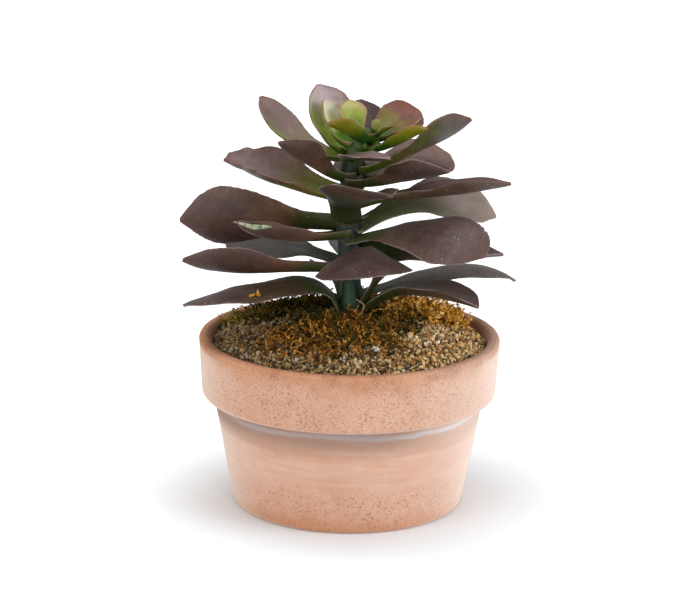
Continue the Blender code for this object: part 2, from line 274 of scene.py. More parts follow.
# %% Groups
def new_tree(kind, name, inputs, outputs):
    """A tree with named sockets. An input is its first value, or its socket's kind as a word."""
    kinds = {float: "Float", int: "Int", tuple: "Color", bpy.types.Material: "Material"}
    tree = bpy.data.node_groups.new(name, kind)
    for label, value in inputs.items():
        word = value if isinstance(value, str) else kinds[type(value)]
        socket = tree.interface.new_socket(label, in_out="INPUT", socket_type="NodeSocket" + word)
        if value is not word:
            socket.default_value = value
    for label, word in outputs.items():
        tree.interface.new_socket(label, in_out="OUTPUT", socket_type="NodeSocket" + word)
    given = Step(tree, tree.nodes.new("NodeGroupInput"))
    return tree, given, tree.nodes.new("NodeGroupOutput").inputs


def use_group(group, **inputs):
    """Places a group; an input's name is written with _ for a space."""
    tree = next(value.tree for value in inputs.values() if isinstance(value, Value))
    named = {label.replace("_", " "): value for label, value in inputs.items()}
    return node(tree, "ShaderNodeGroup", named, node_tree=group)


# %% [markdown]
# ## Shared effects
# Two effects turn up on more than one material, so each is a group that is built once.
# *Specks* scatters round dots: a Voronoi cell draws a dot where its random number is low enough.
# It makes the iron spots in the clay and the lime dust on the leaves.
# *Blotches* is two noises of different size, for anything that weathers unevenly.

# %% Group: specks
specks, given, out = new_tree(
    "ShaderNodeTree", "specks",
    {"place": "Vector", "scale": 800.0, "share": 0.3, "radius": 0.3}, {"mask": "Float"},
)
cell = node(specks, "ShaderNodeTexVoronoi", {"Vector": given["place"], "Scale": given["scale"]})
chance = node(specks, "ShaderNodeSeparateColor", {"Color": cell["Color"]})
chosen = chance[0].maths("LESS_THAN", chance[0], given["share"])
reach = given["radius"] * (0.5 + chance[1])
(chosen * ease(cell["Distance"], reach, reach * 0.4)).to(out["mask"])


def speckled(place, scale, share, radius):
    return use_group(specks, place=place, scale=scale, share=share, radius=radius)["mask"]


# %% Group: blotches
blotches, given, out = new_tree(
    "ShaderNodeTree", "blotches",
    {"place": "Vector", "scale": 60.0, "low": 0.35, "high": 0.65}, {"mask": "Float"},
)
large = cloud(given["place"], given["scale"], 3, 0.6)
small = cloud(given["place"], given["scale"] * 5.0, 2, 0.6)
ease(large * 0.72 + small * 0.28, given["low"], given["high"]).to(out["mask"])


def blotched(place, scale, low, high):
    return use_group(blotches, place=place, scale=scale, low=low, high=high)["mask"]


print("groups:", specks.name, "and", blotches.name)

# %% [markdown]
# ## Helpers for meshes
# Every piece here is a plain mesh with its place in its points. `finish_piece` does what each of
# them needs at the end: smooth shading, the body it rides on and the solid it stands for.

# %% Mesh helpers
def finish_piece(obj, slot, *nodes, smooth=True):
    obj.data.shade_smooth() if smooth else obj.data.shade_flat()
    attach(obj, "root")
    if nodes:
        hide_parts(*nodes)
    print(f"{obj.name}: {sum(len(p.vertices) - 2 for p in obj.data.polygons)} triangles")
    return obj


def volume_inside(points, faces):
    """Six times the volume that the faces close in; less than zero where they face inward."""
    total = 0
    for face in faces:
        first = points[face[0]]
        for left, right in zip(face[1:], face[2:]):
            total += first.dot(points[left].cross(points[right]))
    return total


def mesh_object(name, points, faces, material):
    """A mesh of the points and faces, with every face of a closed shape looking outward."""
    points = [Vector(p) for p in points]
    if volume_inside(points, faces) < 0:
        faces = [face[::-1] for face in faces]
    mesh = bpy.data.meshes.new(name)
    mesh.from_pydata([tuple(p) for p in points], [], faces)
    mesh.validate()
    mesh.materials.append(material)
    obj = bpy.data.objects.new(name, mesh)
    bpy.context.scene.collection.objects.link(obj)
    return obj


def add_attribute(obj, name, values, kind="FLOAT"):
    values = np.asarray(values, np.float32)
    attribute = obj.data.attributes.new(name, kind, "POINT")
    attribute.data.foreach_set("vector" if kind == "FLOAT_VECTOR" else "value", values.ravel())


def ring_faces(rings, sides):
    """Quads between closed rings of points, with a fan on the first and last points."""
    faces = []
    for ring in range(rings - 1):
        start = 1 + ring * sides
        for k in range(sides):
            n = (k + 1) % sides
            faces.append((start + k, start + n, start + sides + n, start + sides + k))
    last = 1 + (rings - 1) * sides
    for k in range(sides):
        n = (k + 1) % sides
        faces.append((0, 1 + n, 1 + k))
        faces.append((last + sides, last + k, last + n))
    return faces


# %% Curve helpers
def lerp(a, b, t):
    return a + (b - a) * t


def bell(off, width):
    """1 where off is 0, falling to a third where it is the width."""
    return math.exp(-((off / width) ** 2))


def smooth_line(knots, x):
    """The values at x on a smooth curve through knots of (x, value, ...), kept between the ends."""
    last = len(knots) - 1
    right = next((k for k in range(1, last) if x <= knots[k][0]), last)
    left = right - 1
    start, end = knots[left], knots[right]
    before, after = knots[max(left - 1, 0)], knots[min(right + 1, last)]
    span = end[0] - start[0]
    t = min(max((x - start[0]) / span, 0), 1)
    steady = t * t * (3 - 2 * t)
    values = []
    for k in range(1, len(start)):
        slope_in = (end[k] - before[k]) / (end[0] - before[0]) * span
        slope_out = (after[k] - start[k]) / (after[0] - start[0]) * span
        bend = t * (1 - t) ** 2 * slope_in - t * t * (1 - t) * slope_out
        values.append(lerp(start[k], end[k], steady) + bend)
    return values


# %% [markdown]
# ## The terracotta
# Fired clay is pink-orange and dusty. Iron spots freckle the rim band and the foot, the middle of
# the wall is wiped smooth and shows pale sideways streaks, lime has bloomed in the crease under
# the band, and the lip and the inside are stained brown by wet grit. All of that goes by height,
# so Object coordinates carry it: Z picks the zone, and noises break the zones' edges. Three more
# marks are painted light: a pale warm zone under the band lifts the shade there, the right side
# is painted paler where the light falls, and a pale sheen lies where the wall turns from the eye.

# %% Terracotta colours and zones
CLAY = screen_colour(204, 158, 133)
CLAY_PALE = screen_colour(222, 188, 170)
CLAY_PAINTED_LIGHT = screen_colour(242, 224, 212)
CLAY_RUST = screen_colour(190, 128, 86)
RIM_STAIN = screen_colour(140, 84, 48)
IRON_SPOT = screen_colour(164, 102, 56)
LIME = screen_colour(252, 250, 248)
NECK_PAINTED_LIGHT = screen_colour(254, 220, 196)
STAIN = screen_colour(112, 72, 56)
# Where a mark starts and where it is full, in metres up the pot, from its axis or to its right.
WIPED_ABOVE, WIPED_BELOW = (0.013, 0.022), (0.0445, 0.043)
RUST_ABOVE, RUST_BELOW = (0.0575, 0.068), (0.010, 0.001)
STAINED_ABOVE, SHEEN_BELOW = (0.0610, 0.0672), (0.0665, 0.0640)
NECK_ABOVE, NECK_BELOW = (0.0325, 0.0425), (0.0447, 0.0443)
LINE_ABOVE, LINE_BELOW, SMEAR_ABOVE = (0.0404, 0.0411), (0.0432, 0.0422), (0.0375, 0.0418)
LIP_WITHIN, LIP_ABOVE = (0.0585, 0.0560), (0.0620, 0.0660)
DEEP_WITHIN, DEEP_ABOVE = (0.0564, 0.0550), (0.030, 0.040)
LIT_RIGHT_OF, DRY_RIGHT_OF = (0.005, 0.062), (0.010, 0.050)
ZONE_WANDER, LINE_WANDER = 12 * MM, 5.2 * MM

# %% Terracotta material
terracotta, place, clay = new_material("fired terracotta", roughness=0.85, specular=0.3)
right, back, height = split(place)
from_axis = vector_maths("DISTANCE", as_vector(place.tree, right, back), (0, 0, 0))
broken_height = height + (cloud(place, 90, 3) - 0.5) * ZONE_WANDER
streak = ease(cloud(vector_maths("MULTIPLY", place, (1, 1, 14)), 26, 3, 0.6), 0.42, 0.72)
wiped = ease(broken_height, *WIPED_ABOVE) * ease(broken_height, *WIPED_BELOW)
freckled = 1.0 - wiped * 0.93
fine_grain = cloud(place, 1500, 3, 0.7)

colour = mix(blotched(place, 55.0, 0.35, 0.7) * 0.45, CLAY, CLAY_PALE)
colour = mix(streak * wiped * 0.55, colour, CLAY_PALE)
rust = larger(ease(broken_height, *RUST_ABOVE), ease(broken_height, *RUST_BELOW))
colour = mix(rust * 0.62, colour, CLAY_RUST)
colour = mix(fine_grain * 0.22, colour, CLAY_RUST)
dots = larger(speckled(place, 1500.0, 0.80, 0.40) * 0.9, speckled(place, 820.0, 0.34, 0.34))
spots = dots * freckled * (0.50 + ease(cloud(place, 120, 3), 0.32, 0.62) * 0.50)
colour = mix(spots * 0.85, colour, IRON_SPOT)
sand = ease(cloud(place, 2300, 2, 0.7), 0.52, 0.66) * freckled
colour = mix(sand * 0.34, colour, CLAY_RUST)
rim_patch = ease(cloud(place, 30, 4, 0.6) + right * 2.0, 0.40, 0.58) * ease(fine_grain, 0.30, 0.60)
colour = mix(ease(broken_height, *STAINED_ABOVE) * rim_patch * 0.72, colour, RIM_STAIN)
# Painted light: the wall under the band is turned pale and warm, to lift the shade that the band throws
# there.
painted_neck_light = ease(height, *NECK_ABOVE) * ease(height, *NECK_BELOW)
colour = mix(painted_neck_light * 0.90, colour, NECK_PAINTED_LIGHT)
line_height = height + (cloud(place, 45, 3, 0.6) - 0.5) * LINE_WANDER
line = ease(line_height, *LINE_ABOVE) * ease(line_height, *LINE_BELOW)
smear = ease(line_height, *SMEAR_ABOVE) * ease(cloud(place, 34, 3), 0.50, 0.66) * ease(height, *NECK_BELOW)
colour = mix(larger(line, smear * 0.5), colour, LIME)
# Painted light: the right side is painted paler, where the light falls.
colour = mix(ease(right, *LIT_RIGHT_OF) * 0.24, colour, CLAY_PAINTED_LIGHT)
# Painted sheen: pale where the wall turns away from the eye, below the lip's top.
clay_edge_sheen = ease(facing(place.tree, 0.5), 0.30, 0.95) * ease(height, *SHEEN_BELOW)
colour = mix(clay_edge_sheen * 0.6, colour, CLAY_PAINTED_LIGHT)
lip = ease(from_axis, *LIP_WITHIN) * ease(height, *LIP_ABOVE) * blotched(place, 110.0, 0.2, 0.6)
deep = ease(from_axis, *DEEP_WITHIN) * ease(height, *DEEP_ABOVE)
damp = 0.74 - ease(right, *DRY_RIGHT_OF) * 0.40
mix(larger(lip, deep) * damp, colour, STAIN).to(clay["Base Color"])
(0.72 + fine_grain * 0.2).to(clay["Roughness"])
bump(fine_grain * 0.5 - spots, 0.16 * MM).to(clay["Normal"])
print("material:", terracotta.name)

# %% [markdown]
# ## The pan
# The pot is a section turned round the Z axis, so its mesh is rings of points. Some 200 sides
# leave no facets to see. A few hundredths of a millimetre of noise keep the rings from being a
# machine's, faint throwing ridges run round the wall, and the lip has small worn dips.

# %% Turn the pan
RIM_RADIUS, POT_HEIGHT, BAND_HEIGHT = 60 * MM, 68 * MM, 23.4 * MM
BAND_FOOT_RADIUS, NECK_RADIUS, FOOT_RADIUS = 58.7 * MM, 54.2 * MM, 46.0 * MM
LIP_WIDTH, FLOOR_HEIGHT, FLOOR_RADIUS = 4.6 * MM, 7 * MM, 41.8 * MM
CORNER = 1.8 * MM
PAN_SIDES = 208
PROFILE_STEP = 1.1 * MM


def round_corner(corner, before, after, size, steps=6):
    corner, before, after = Vector(corner), Vector(before), Vector(after)
    start = corner + (before - corner).normalized() * size
    end = corner + (after - corner).normalized() * size
    shares = [k / steps for k in range(steps + 1)]
    return [start * (1 - t) ** 2 + corner * 2 * t * (1 - t) + end * t**2 for t in shares]


def pan_section():
    """(radius, height) from the floor's centre over the lip to the foot's centre, in short steps."""
    band_foot = POT_HEIGHT - BAND_HEIGHT
    floor_centre, floor_corner = (0, FLOOR_HEIGHT), (FLOOR_RADIUS, FLOOR_HEIGHT)
    lip_in, lip_out = (RIM_RADIUS - LIP_WIDTH, POT_HEIGHT), (RIM_RADIUS, POT_HEIGHT)
    band_low, neck, foot = (BAND_FOOT_RADIUS, band_foot), (NECK_RADIUS, band_foot), (FOOT_RADIUS, 0)
    corners = [
        *round_corner(floor_corner, floor_centre, lip_in, CORNER),
        *round_corner(lip_in, floor_corner, lip_out, CORNER),
        *round_corner(lip_out, lip_in, band_low, CORNER),
        *round_corner(band_low, lip_out, neck, CORNER),
        *round_corner(neck, band_low, foot, 0.5 * MM, 3),
        *round_corner(foot, neck, (0, 0), CORNER),
    ]
    section = [corners[0]]
    for point in corners[1:]:
        pieces = max(1, round((point - section[-1]).length / PROFILE_STEP))
        start = section[-1]
        section += [start.lerp(point, k / pieces) for k in range(1, pieces + 1)]
    return section


def thrown(radius, turn, height):
    """The section's radius and height with the potter's small errors."""
    around = Vector((math.cos(turn), math.sin(turn), 0))
    wobble = 0.10 * MM * noise.noise(around * 1.4 + Vector((0, 0, height * 60)))
    ridge = 0.035 * MM * noise.noise(around * 0.5 + Vector((0, 0, height * 700)))
    worn = 0.10 * MM * noise.noise(around * 22 + Vector((0, 0, 7))) * (height > POT_HEIGHT - CORNER)
    return radius + wobble + ridge + worn, height + worn * 0.8


section = pan_section()
points = [(0, 0, FLOOR_HEIGHT)]
for r, z in section:
    for side in range(PAN_SIDES):
        turn = 2 * math.pi * side / PAN_SIDES
        radius_here, height_here = thrown(r, turn, z) if z > CORNER else (r, z)
        points.append((radius_here * math.cos(turn), radius_here * math.sin(turn), height_here))
points.append((0, 0, 0))
pan = mesh_object("terracotta_pan", points, ring_faces(len(section), PAN_SIDES), terracotta)
finish_piece(pan, "terracotta", "pot")

# %% [markdown]
# ## The grit bed
# Under the loose grains lies one dark, lumpy body that fills the pan. It only shows between the
# grains, but it closes the view down and carries everything that is scattered on it, so its top
# follows the same gentle mound as the solid, with a rougher surface.

# %% Soil material and bed
FILL_EDGE_HEIGHT, MOUND_RISE = 63 * MM, 12.3 * MM
BED_RINGS, BED_SIDES = 64, 144
BED_TOP_UP = 0.8 * MM

soil, place, earth = new_material("dark damp grit", roughness=0.95, specular=0.2)
crumb = blotched(place, 420.0, 0.35, 0.65)
colour = mix(crumb, screen_colour(44, 34, 18), screen_colour(120, 92, 52))
colour = mix(speckled(place, 700.0, 0.3, 0.5) * 0.7, colour, screen_colour(176, 146, 106))
colour.to(earth["Base Color"])
bump(crumb, 0.4 * MM).to(earth["Normal"])


def wall_radius(height):
    """The pan's inside is one straight taper from the lip to the floor."""
    share = (height - FLOOR_HEIGHT) / (POT_HEIGHT - FLOOR_HEIGHT)
    return lerp(FLOOR_RADIUS, RIM_RADIUS - LIP_WIDTH, share)


def mound_height(x, y):
    share = math.hypot(x, y) / wall_radius(FILL_EDGE_HEIGHT)
    return FILL_EDGE_HEIGHT + MOUND_RISE * (1 - share**2)


def bed_height(x, y):
    """The mound with lumps of a few millimetres, and smaller ones on them."""
    lumps = noise.noise(Vector((x, y, 0)) * 130) + 0.5 * noise.noise(Vector((x, y, 3)) * 420)
    return mound_height(x, y) + BED_TOP_UP + 0.7 * MM * lumps


bed_edge = wall_radius(FILL_EDGE_HEIGHT) - 0.1 * MM
points = [(0, 0, bed_height(0, 0))]
for ring in range(1, BED_RINGS + 1):
    for side in range(BED_SIDES):
        turn = 2 * math.pi * side / BED_SIDES
        x, y = (bed_edge * ring / BED_RINGS * f(turn) for f in (math.cos, math.sin))
        points.append((x, y, bed_height(x, y)))
low = FLOOR_HEIGHT + 0.3 * MM
low_radius = wall_radius(low) - CORNER
for side in range(BED_SIDES):
    turn = 2 * math.pi * side / BED_SIDES
    points.append((low_radius * math.cos(turn), low_radius * math.sin(turn), low))
points.append((0, 0, low))
bed = mesh_object("grit_bed", points, ring_faces(BED_RINGS + 1, BED_SIDES), soil)
finish_piece(bed, "grit", "grit_fill")

# %% [markdown]
# ## Loose grains
# The pan's top is thousands of grains of one or two millimetres. Geometry Nodes scatter them:
# points on the bed, a small angular stone on each, turned and stretched by chance, and a number
# called *tone* that picks its colour. The tree takes its density, size and seed as inputs, so one
# tree makes the fine grit, the coarse grit and the few pale pebbles.

# %% Geometry Nodes helpers
def random_between(low, high, seed):
    """A random number or vector, as low is, for each point or instance."""
    is_vector = isinstance(low, tuple)
    first, second, output = (0, 1, 0) if is_vector else (2, 3, 1)
    inputs = {first: low, second: high, 8: seed}
    kind = "FLOAT_VECTOR" if is_vector else "FLOAT"
    return node(seed.tree, "FunctionNodeRandomValue", inputs, data_type=kind)[output]


def points_on(given, share_name):
    """Points on the mesh: the tree's density times the share that the mesh names at each place."""
    inputs = {"Name": share_name}
    share = node(given.tree, "GeometryNodeInputNamedAttribute", inputs, data_type="FLOAT")["Attribute"]
    inputs = {"Mesh": given["Mesh"], "Density": given["Density"] * share, "Seed": given["Seed"]}
    return node(given.tree, "GeometryNodeDistributePointsOnFaces", inputs)["Points"]


def set_on(points, piece, turns, scale):
    turned = node(points.tree, "FunctionNodeEulerToRotation", {"Euler": turns})[0]
    inputs = {"Points": points, "Instance": piece, "Rotation": turned, "Scale": scale}
    return node(points.tree, "GeometryNodeInstanceOnPoints", inputs)[0]


def stored(geometry, name, value, domain):
    inputs = {"Geometry": geometry, "Name": name, "Value": value}
    return node(geometry.tree, "GeometryNodeStoreNamedAttribute", inputs, data_type="FLOAT", domain=domain)[0]


def made_real(geometry):
    return node(geometry.tree, "GeometryNodeRealizeInstances", {"Geometry": geometry})[0]


def shaken(geometry, scale, detail, amount):
    """Every point moved by a noise of that scale."""
    push = node(geometry.tree, "ShaderNodeTexNoise", {"Scale": scale, "Detail": detail})["Color"]
    push = vector_maths("SCALE", vector_maths("SUBTRACT", push, (0.5, 0.5, 0.5)), amount)
    return node(geometry.tree, "GeometryNodeSetPosition", {"Geometry": geometry, "Offset": push})[0]


def finish_tree(geometry, given, out):
    inputs = {"Geometry": made_real(geometry), "Material": given["Material"]}
    node(geometry.tree, "GeometryNodeSetMaterial", inputs)[0].to(out["Mesh"])


# %% Run a tree
def grown(name, ground, tree, **settings):
    """Runs a tree on a copy of the ground mesh and returns the result as a plain mesh object."""
    host = bpy.data.objects.new(name + "_ground", ground.data.copy())
    bpy.context.scene.collection.objects.link(host)
    modifier = host.modifiers.new("grow", "NODES")
    modifier.node_group = tree
    sockets = {s.name: s.identifier for s in tree.interface.items_tree if s.in_out == "INPUT"}
    for label, value in settings.items():
        modifier[sockets[label]] = value
    graph = bpy.context.evaluated_depsgraph_get()
    mesh = bpy.data.meshes.new_from_object(host.evaluated_get(graph), depsgraph=graph)
    bpy.data.objects.remove(host)
    obj = bpy.data.objects.new(name, mesh)
    bpy.context.scene.collection.objects.link(obj)
    return obj


# %% Grain material
# Where a tone starts, and its screen colour.
GRAIN_TONES = (
    (0.0, (56, 50, 38)), (0.09, (132, 96, 50)), (0.24, (190, 150, 92)), (0.44, (222, 186, 128)),
    (0.66, (128, 120, 90)), (0.73, (236, 208, 160)), (0.88, (184, 118, 58)), (0.94, (250, 240, 220)),
)
# Painted light and shade: grains are painted darker toward the left, where shade falls, and brighter toward
# the right, where the light falls.
SHADED_LEFT_OF, SUNNY_RIGHT_OF = (0.022, -0.030), (0.004, 0.044)

grain, place, stone = new_material("mixed grains", roughness=0.8, specular=0.35)
mottle = cloud(place, 1700, 2, 0.7)
right, _, _ = split(place)
shade = ramp(attribute(place.tree, "tone"), GRAIN_TONES, held=True)
shade = mix(mottle * 0.5, shade, screen_colour(104, 78, 40))
# Painted shade at the left, painted light at the right.
shade = mix(ease(right, *SHADED_LEFT_OF) * 0.42, shade, screen_colour(70, 50, 24))
shade = brightened(shade, 1.0 + ease(right, *SUNNY_RIGHT_OF) * 0.38)
shade.to(stone["Base Color"])
(0.5 + mottle * 0.45).to(stone["Roughness"])
bump(mottle, 0.08 * MM).to(stone["Normal"])
print("material:", grain.name, "in", len(GRAIN_TONES), "tones")

# %% Grain tree
FULL_TURN = 6.28
ANY_WAY = (FULL_TURN, FULL_TURN, FULL_TURN)
FLATTEST, FATTEST = (0.6, 0.5, 0.45), (1.25, 1.1, 1.0)

scatter, given, out = new_tree(
    "GeometryNodeTree", "scatter grains",
    {"Mesh": "Geometry", "Density": 1e6, "Size": 1e-3, "Seed": 1, "Material": grain}, {"Mesh": "Geometry"},
)
seed, size = given["Seed"], given["Size"]
lump = node(scatter, "GeometryNodeMeshIcoSphere", {"Radius": 0.5, "Subdivisions": 1})["Mesh"]
amount = random_between(0.6, 1.5, seed + 9) * size
stretch = vector_maths("SCALE", random_between(FLATTEST, FATTEST, seed), amount)
placed = set_on(points_on(given, "grain"), lump, random_between((0, 0, 0), ANY_WAY, seed), stretch)
rise = as_vector(scatter, z=random_between(-0.1, 0.75, seed) * size)
inputs = {"Instances": placed, "Translation": rise, "Local Space": False}
placed = node(scatter, "GeometryNodeTranslateInstances", inputs)[0]
toned = stored(placed, "tone", random_between(0.0, 1.0, seed + 4), "INSTANCE")
finish_tree(shaken(made_real(toned), 1300.0, 1.0, size * 0.8), given, out)
print("tree:", scatter.name, "with", len(scatter.nodes), "nodes")

# %% Scatter the grains
GRAINS = {
    # name: (grains in a square metre, size, seed)
    "grit_fine": (0.85e6, 1.0 * MM, 3),
    "grit_coarse": (0.44e6, 1.5 * MM, 5),
    "grit_pebbles": (0.020e6, 2.1 * MM, 8),
}
EDGE_CLEARANCE = 0.3 * MM


def on_top(point):
    return point.z > FILL_EDGE_HEIGHT - 2 * MM


grain_edge = bed_edge - EDGE_CLEARANCE
bed_points = [p.co.copy() for p in bed.data.vertices]
add_attribute(bed, "grain", [on_top(p) and math.hypot(p.x, p.y) < grain_edge for p in bed_points])
for name, (density, size, seed) in GRAINS.items():
    grains = grown(name, bed, scatter, Density=density, Size=size, Seed=seed, Material=grain)
    finish_piece(grains, "grit", smooth=False)

# %% [markdown]
# ## Leaf surface
# One shader serves every leaf. Each leaf's mesh carries a vector called *skin*: how far along the
# leaf a point lies, how far across it, and whether it is on the upper face. With these the shader
# fades the green root into the dusky blade, tells the pale upper face from the maroon underside,
# and draws the thin margin. Powdery bloom, lime specks and faint lengthwise fibres go on top.
# Two marks are painted highlights: a pale line along the very edge, and a pale sheen where the
# leaf turns away from the eye.
# *Habit* and *flank* are the leaf's own: its tone, which partly paints the light and shade that it
# catches, how far its green reaches, how powdery it is, and how green its left and right sides are.

# %% Group: leaf colours
FINISH_COLOURS = ("upper", "upper root", "under", "under root", "between", "margin")
FINISH_NUMBERS = ("reach", "fade", "between share", "margin width", "bloom", "dust")
BLOOM_WHITE, LIME_DUST = screen_colour(170, 158, 156), screen_colour(214, 206, 198)
RIM_HIGHLIGHT = screen_colour(178, 158, 148)

leaf_colours, given, out = new_tree(
    "ShaderNodeTree", "leaf colours",
    {
        **dict.fromkeys(("skin", "habit", "flank", "place"), "Vector"),
        **dict.fromkeys(FINISH_COLOURS, (0.2, 0.2, 0.2, 1)), **dict.fromkeys(FINISH_NUMBERS, 0.3),
    },
    {"colour": "Color", "powder": "Float", "relief": "Float"},
)
place = given["place"]
along, offside, face = split(given["skin"])
tone_and_light, greenness, powderiness = split(given["habit"])
left_green, right_green, _ = split(given["flank"])
across, upper = abs(offside), ease(face, 0.3, 0.7)
drift = (cloud(place, 85, 3, 0.6) - 0.5) * 0.35
blade = ease(
    along + drift + across**3.0 * 0.10 - greenness,
    given["reach"] - given["fade"], given["reach"] + given["fade"],
)
top_side = mix(blade, given["upper root"], given["upper"])
low_side = mix(blade, given["under root"], given["under"])
colour = mix(upper, low_side, top_side)
ragged = offside + drift * 1.2
green_side = larger(ease(ragged, 0.0, 0.75) * left_green, ease(ragged, 0.0, -0.75) * right_green)
green_side = green_side * ease(along, 0.95, 0.45)
colour = mix(green_side, colour, mix(upper, given["under root"], given["upper root"]))
tinge = ease(cloud(place, 140, 3, 0.6), 0.50, 0.74)
colour = mix(tinge * 0.34, colour, given["between"])
halfway = blade * (1.0 - blade) * 4.0
colour = mix(halfway * given["between share"], colour, given["between"])
flush = larger(ease(across, 0.45, 1.05), ease(along, 0.78, 1.02)) * blade
colour = mix(flush * 0.16, colour, given["margin"])
fibres = cloud(vector_maths("MULTIPLY", given["skin"], (2.2, 26, 1)), 1.0, 3, 0.6)
mottle = cloud(place, 260, 4, 0.65)
# The habit's first number scales the colour: the leaf's own tone, and partly painted light and shade.
colour = brightened(colour, (0.30 + (mottle * 0.55 + fibres * 0.30) * 1.66) * tone_and_light)

# %% Group: leaf colours, what lies on the skin
powder = blotched(place, 70.0, 0.38, 0.72) * given["bloom"] * powderiness
powder = powder * (0.12 + upper * 0.88) * (0.25 + blade * 0.75)
colour = mix(powder, colour, BLOOM_WHITE)
edge_start = 1.0 - given["margin width"]
edge = ease(across, edge_start, edge_start + given["margin width"] * 1.1)
worn = 0.05 + cloud(place, 190, 3) * 0.95
colour = mix(larger(edge, ease(along, 0.965, 1.0)) * worn, colour, given["margin"])
# Painted highlight: a pale line, broken by noise, along the very edge.
painted_rim_highlight = ease(across, 0.965, 1.0) * ease(cloud(place, 130, 2), 0.42, 0.58)
colour = mix(painted_rim_highlight * 0.55, colour, RIM_HIGHLIGHT)
dots = speckled(place, 1000.0, 0.34, 0.22) * blotched(place, 100.0, 0.44, 0.62) * given["dust"]
mix(dots, colour, LIME_DUST).to(out["colour"])
(powder + dots).to(out["powder"])
(fibres * 0.5 + mottle + dots * 0.6).to(out["relief"])
print("group:", leaf_colours.name, "with", len(leaf_colours.nodes), "nodes")

# %% Leaf materials
finish_fields = [label.replace(" ", "_") for label in FINISH_COLOURS + FINISH_NUMBERS]
Finish = namedtuple("Finish", [*finish_fields, "haze"])
# The last number of each finish is the strength of its painted sheen.
FINISHES = {
    "dusky": Finish(
        (80, 58, 52), (54, 66, 24), (68, 44, 38), (48, 58, 18), (84, 58, 42), (104, 74, 66),
        0.28, 0.20, 0.55, 0.09, 0.16, 0.9, 0.12),
    "grey": Finish(
        (98, 84, 77), (72, 80, 42), (64, 50, 42), (52, 62, 18), (90, 82, 58), (144, 128, 120),
        0.27, 0.24, 0.3, 0.06, 0.24, 0.6, 0.18),
    "maroon": Finish(
        (98, 76, 68), (74, 84, 36), (76, 54, 47), (56, 62, 24), (104, 70, 54), (104, 66, 58),
        0.37, 0.22, 0.75, 0.09, 0.14, 0.5, 0.08),
    "shoulder": Finish(
        (130, 106, 102), (112, 132, 34), (80, 57, 48), (76, 92, 16), (126, 104, 48), (136, 84, 72),
        0.34, 0.28, 0.4, 0.08, 0.30, 0.3, 0.14),
    "lilac": Finish(
        (196, 172, 176), (190, 216, 90), (120, 104, 50), (66, 100, 14), (172, 176, 84), (138, 92, 84),
        0.52, 0.22, 0.7, 0.26, 0.34, 0.0, 0.04),
    "mauve": Finish(
        (146, 112, 110), (96, 100, 60), (74, 62, 44), (44, 64, 30), (110, 92, 70), (160, 124, 124),
        0.40, 0.26, 0.4, 0.10, 0.12, 0.0, 0.06),
    "rose": Finish(
        (128, 82, 70), (92, 122, 22), (100, 88, 24), (56, 88, 12), (126, 108, 40), (140, 80, 70),
        0.55, 0.26, 0.5, 0.16, 0.10, 0.0, 0.06),
    "lime": Finish(
        (150, 116, 56), (96, 126, 20), (124, 118, 8), (44, 84, 10), (130, 134, 26), (148, 84, 52),
        0.60, 0.32, 0.4, 0.16, 0.04, 0.0, 0.0),
    "pale heart": Finish(
        (226, 222, 196), (104, 150, 40), (130, 128, 50), (60, 98, 14), (196, 208, 108), (168, 112, 96),
        0.50, 0.26, 0.6, 0.34, 0.16, 0.0, 0.0),
    "yellow heart": Finish(
        (196, 184, 122), (96, 132, 20), (132, 128, 20), (60, 98, 14), (150, 164, 40), (176, 120, 96),
        0.64, 0.30, 0.6, 0.26, 0.06, 0.0, 0.0),
}
LEAF_SHEEN_COLOUR = screen_colour(172, 162, 162)


def leaf_material(label, finish):
    made, place, surface = new_material("leaf " + label, roughness=0.5, specular=0.36)
    vectors = {name: attribute(place.tree, name, "Vector") for name in ("skin", "habit", "flank")}
    own = {k: screen_colour(*v) if isinstance(v, tuple) else v for k, v in finish._asdict().items()}
    # Painted sheen: the colour turns pale where the leaf turns away from the eye.
    haze = ease(facing(place.tree, 0.35), 0.45, 1.0) * own.pop("haze")
    result = use_group(leaf_colours, place=place, **vectors, **own)
    mix(haze, result["colour"], LEAF_SHEEN_COLOUR).to(surface["Base Color"])
    (0.42 + result["powder"] * 0.4).to(surface["Roughness"])
    soft = bump(result["relief"], 0.22 * MM)
    bump(cloud(place, 2200, 2, 0.6), 0.03 * MM, under=soft).to(surface["Normal"])
    return made


leaf_skins = {label: leaf_material(label, finish) for label, finish in FINISHES.items()}
print("leaf materials:", ", ".join(leaf_skins))

# %% [markdown]
# ## The stalk
# The stalk is a green stem of about 8 mm that leans to the right at its top. Each leaf leaves a
# swelling and a ring where it joins, so the tube is built ring by ring: the axis comes from a few
# points, and every leaf's root pushes the wall out a little on its own side.

# %% Stalk measures
STEM_AXIS_MM = (
    # x, y, z, radius
    (0.5, 0.0, 38.0, 3.4), (0.5, 0.0, 70.0, 4.3), (0.4, 0.0, 80.0, 4.6), (0.2, 0.0, 90.0, 4.0),
    (-0.8, 0.0, 102.0, 4.1), (-1.0, 0.0, 112.0, 4.2), (-0.4, 0.0, 124.0, 4.1), (0.2, 0.0, 134.0, 4.3),
    (1.2, 0.0, 140.0, 4.2), (3.4, 0.0, 145.0, 3.7), (7.6, 0.0, 150.0, 2.4),
)


def stem_at(height):
    """The stem's axis point and radius at a height, in metres."""
    x, y, r = smooth_line([(z, x, y, r) for x, y, z, r in STEM_AXIS_MM], height / MM)
    return Vector((x * MM, y * MM, height)), r * MM


def stem_lean(height):
    return (stem_at(height + MM)[0].x - stem_at(height - MM)[0].x) / (2 * MM)


print("stalk: from", STEM_AXIS_MM[0][2], "to", STEM_AXIS_MM[-1][2], "mm high")


# %% [markdown]
# ## The leaves
# Every leaf is one row of a table: where it leaves the stalk, where it points, how long and wide
# it is, how its rib rises, how far it turns and rolls, and how deep its section is cupped. The
# rows are the same ones that the solids were made from, so each blade lies where its solid lies.
# The blade itself is finer: a ring of points round each cross-section gives both faces and a
# rounded edge, the margin is finely toothed, and the root runs on into the stalk.

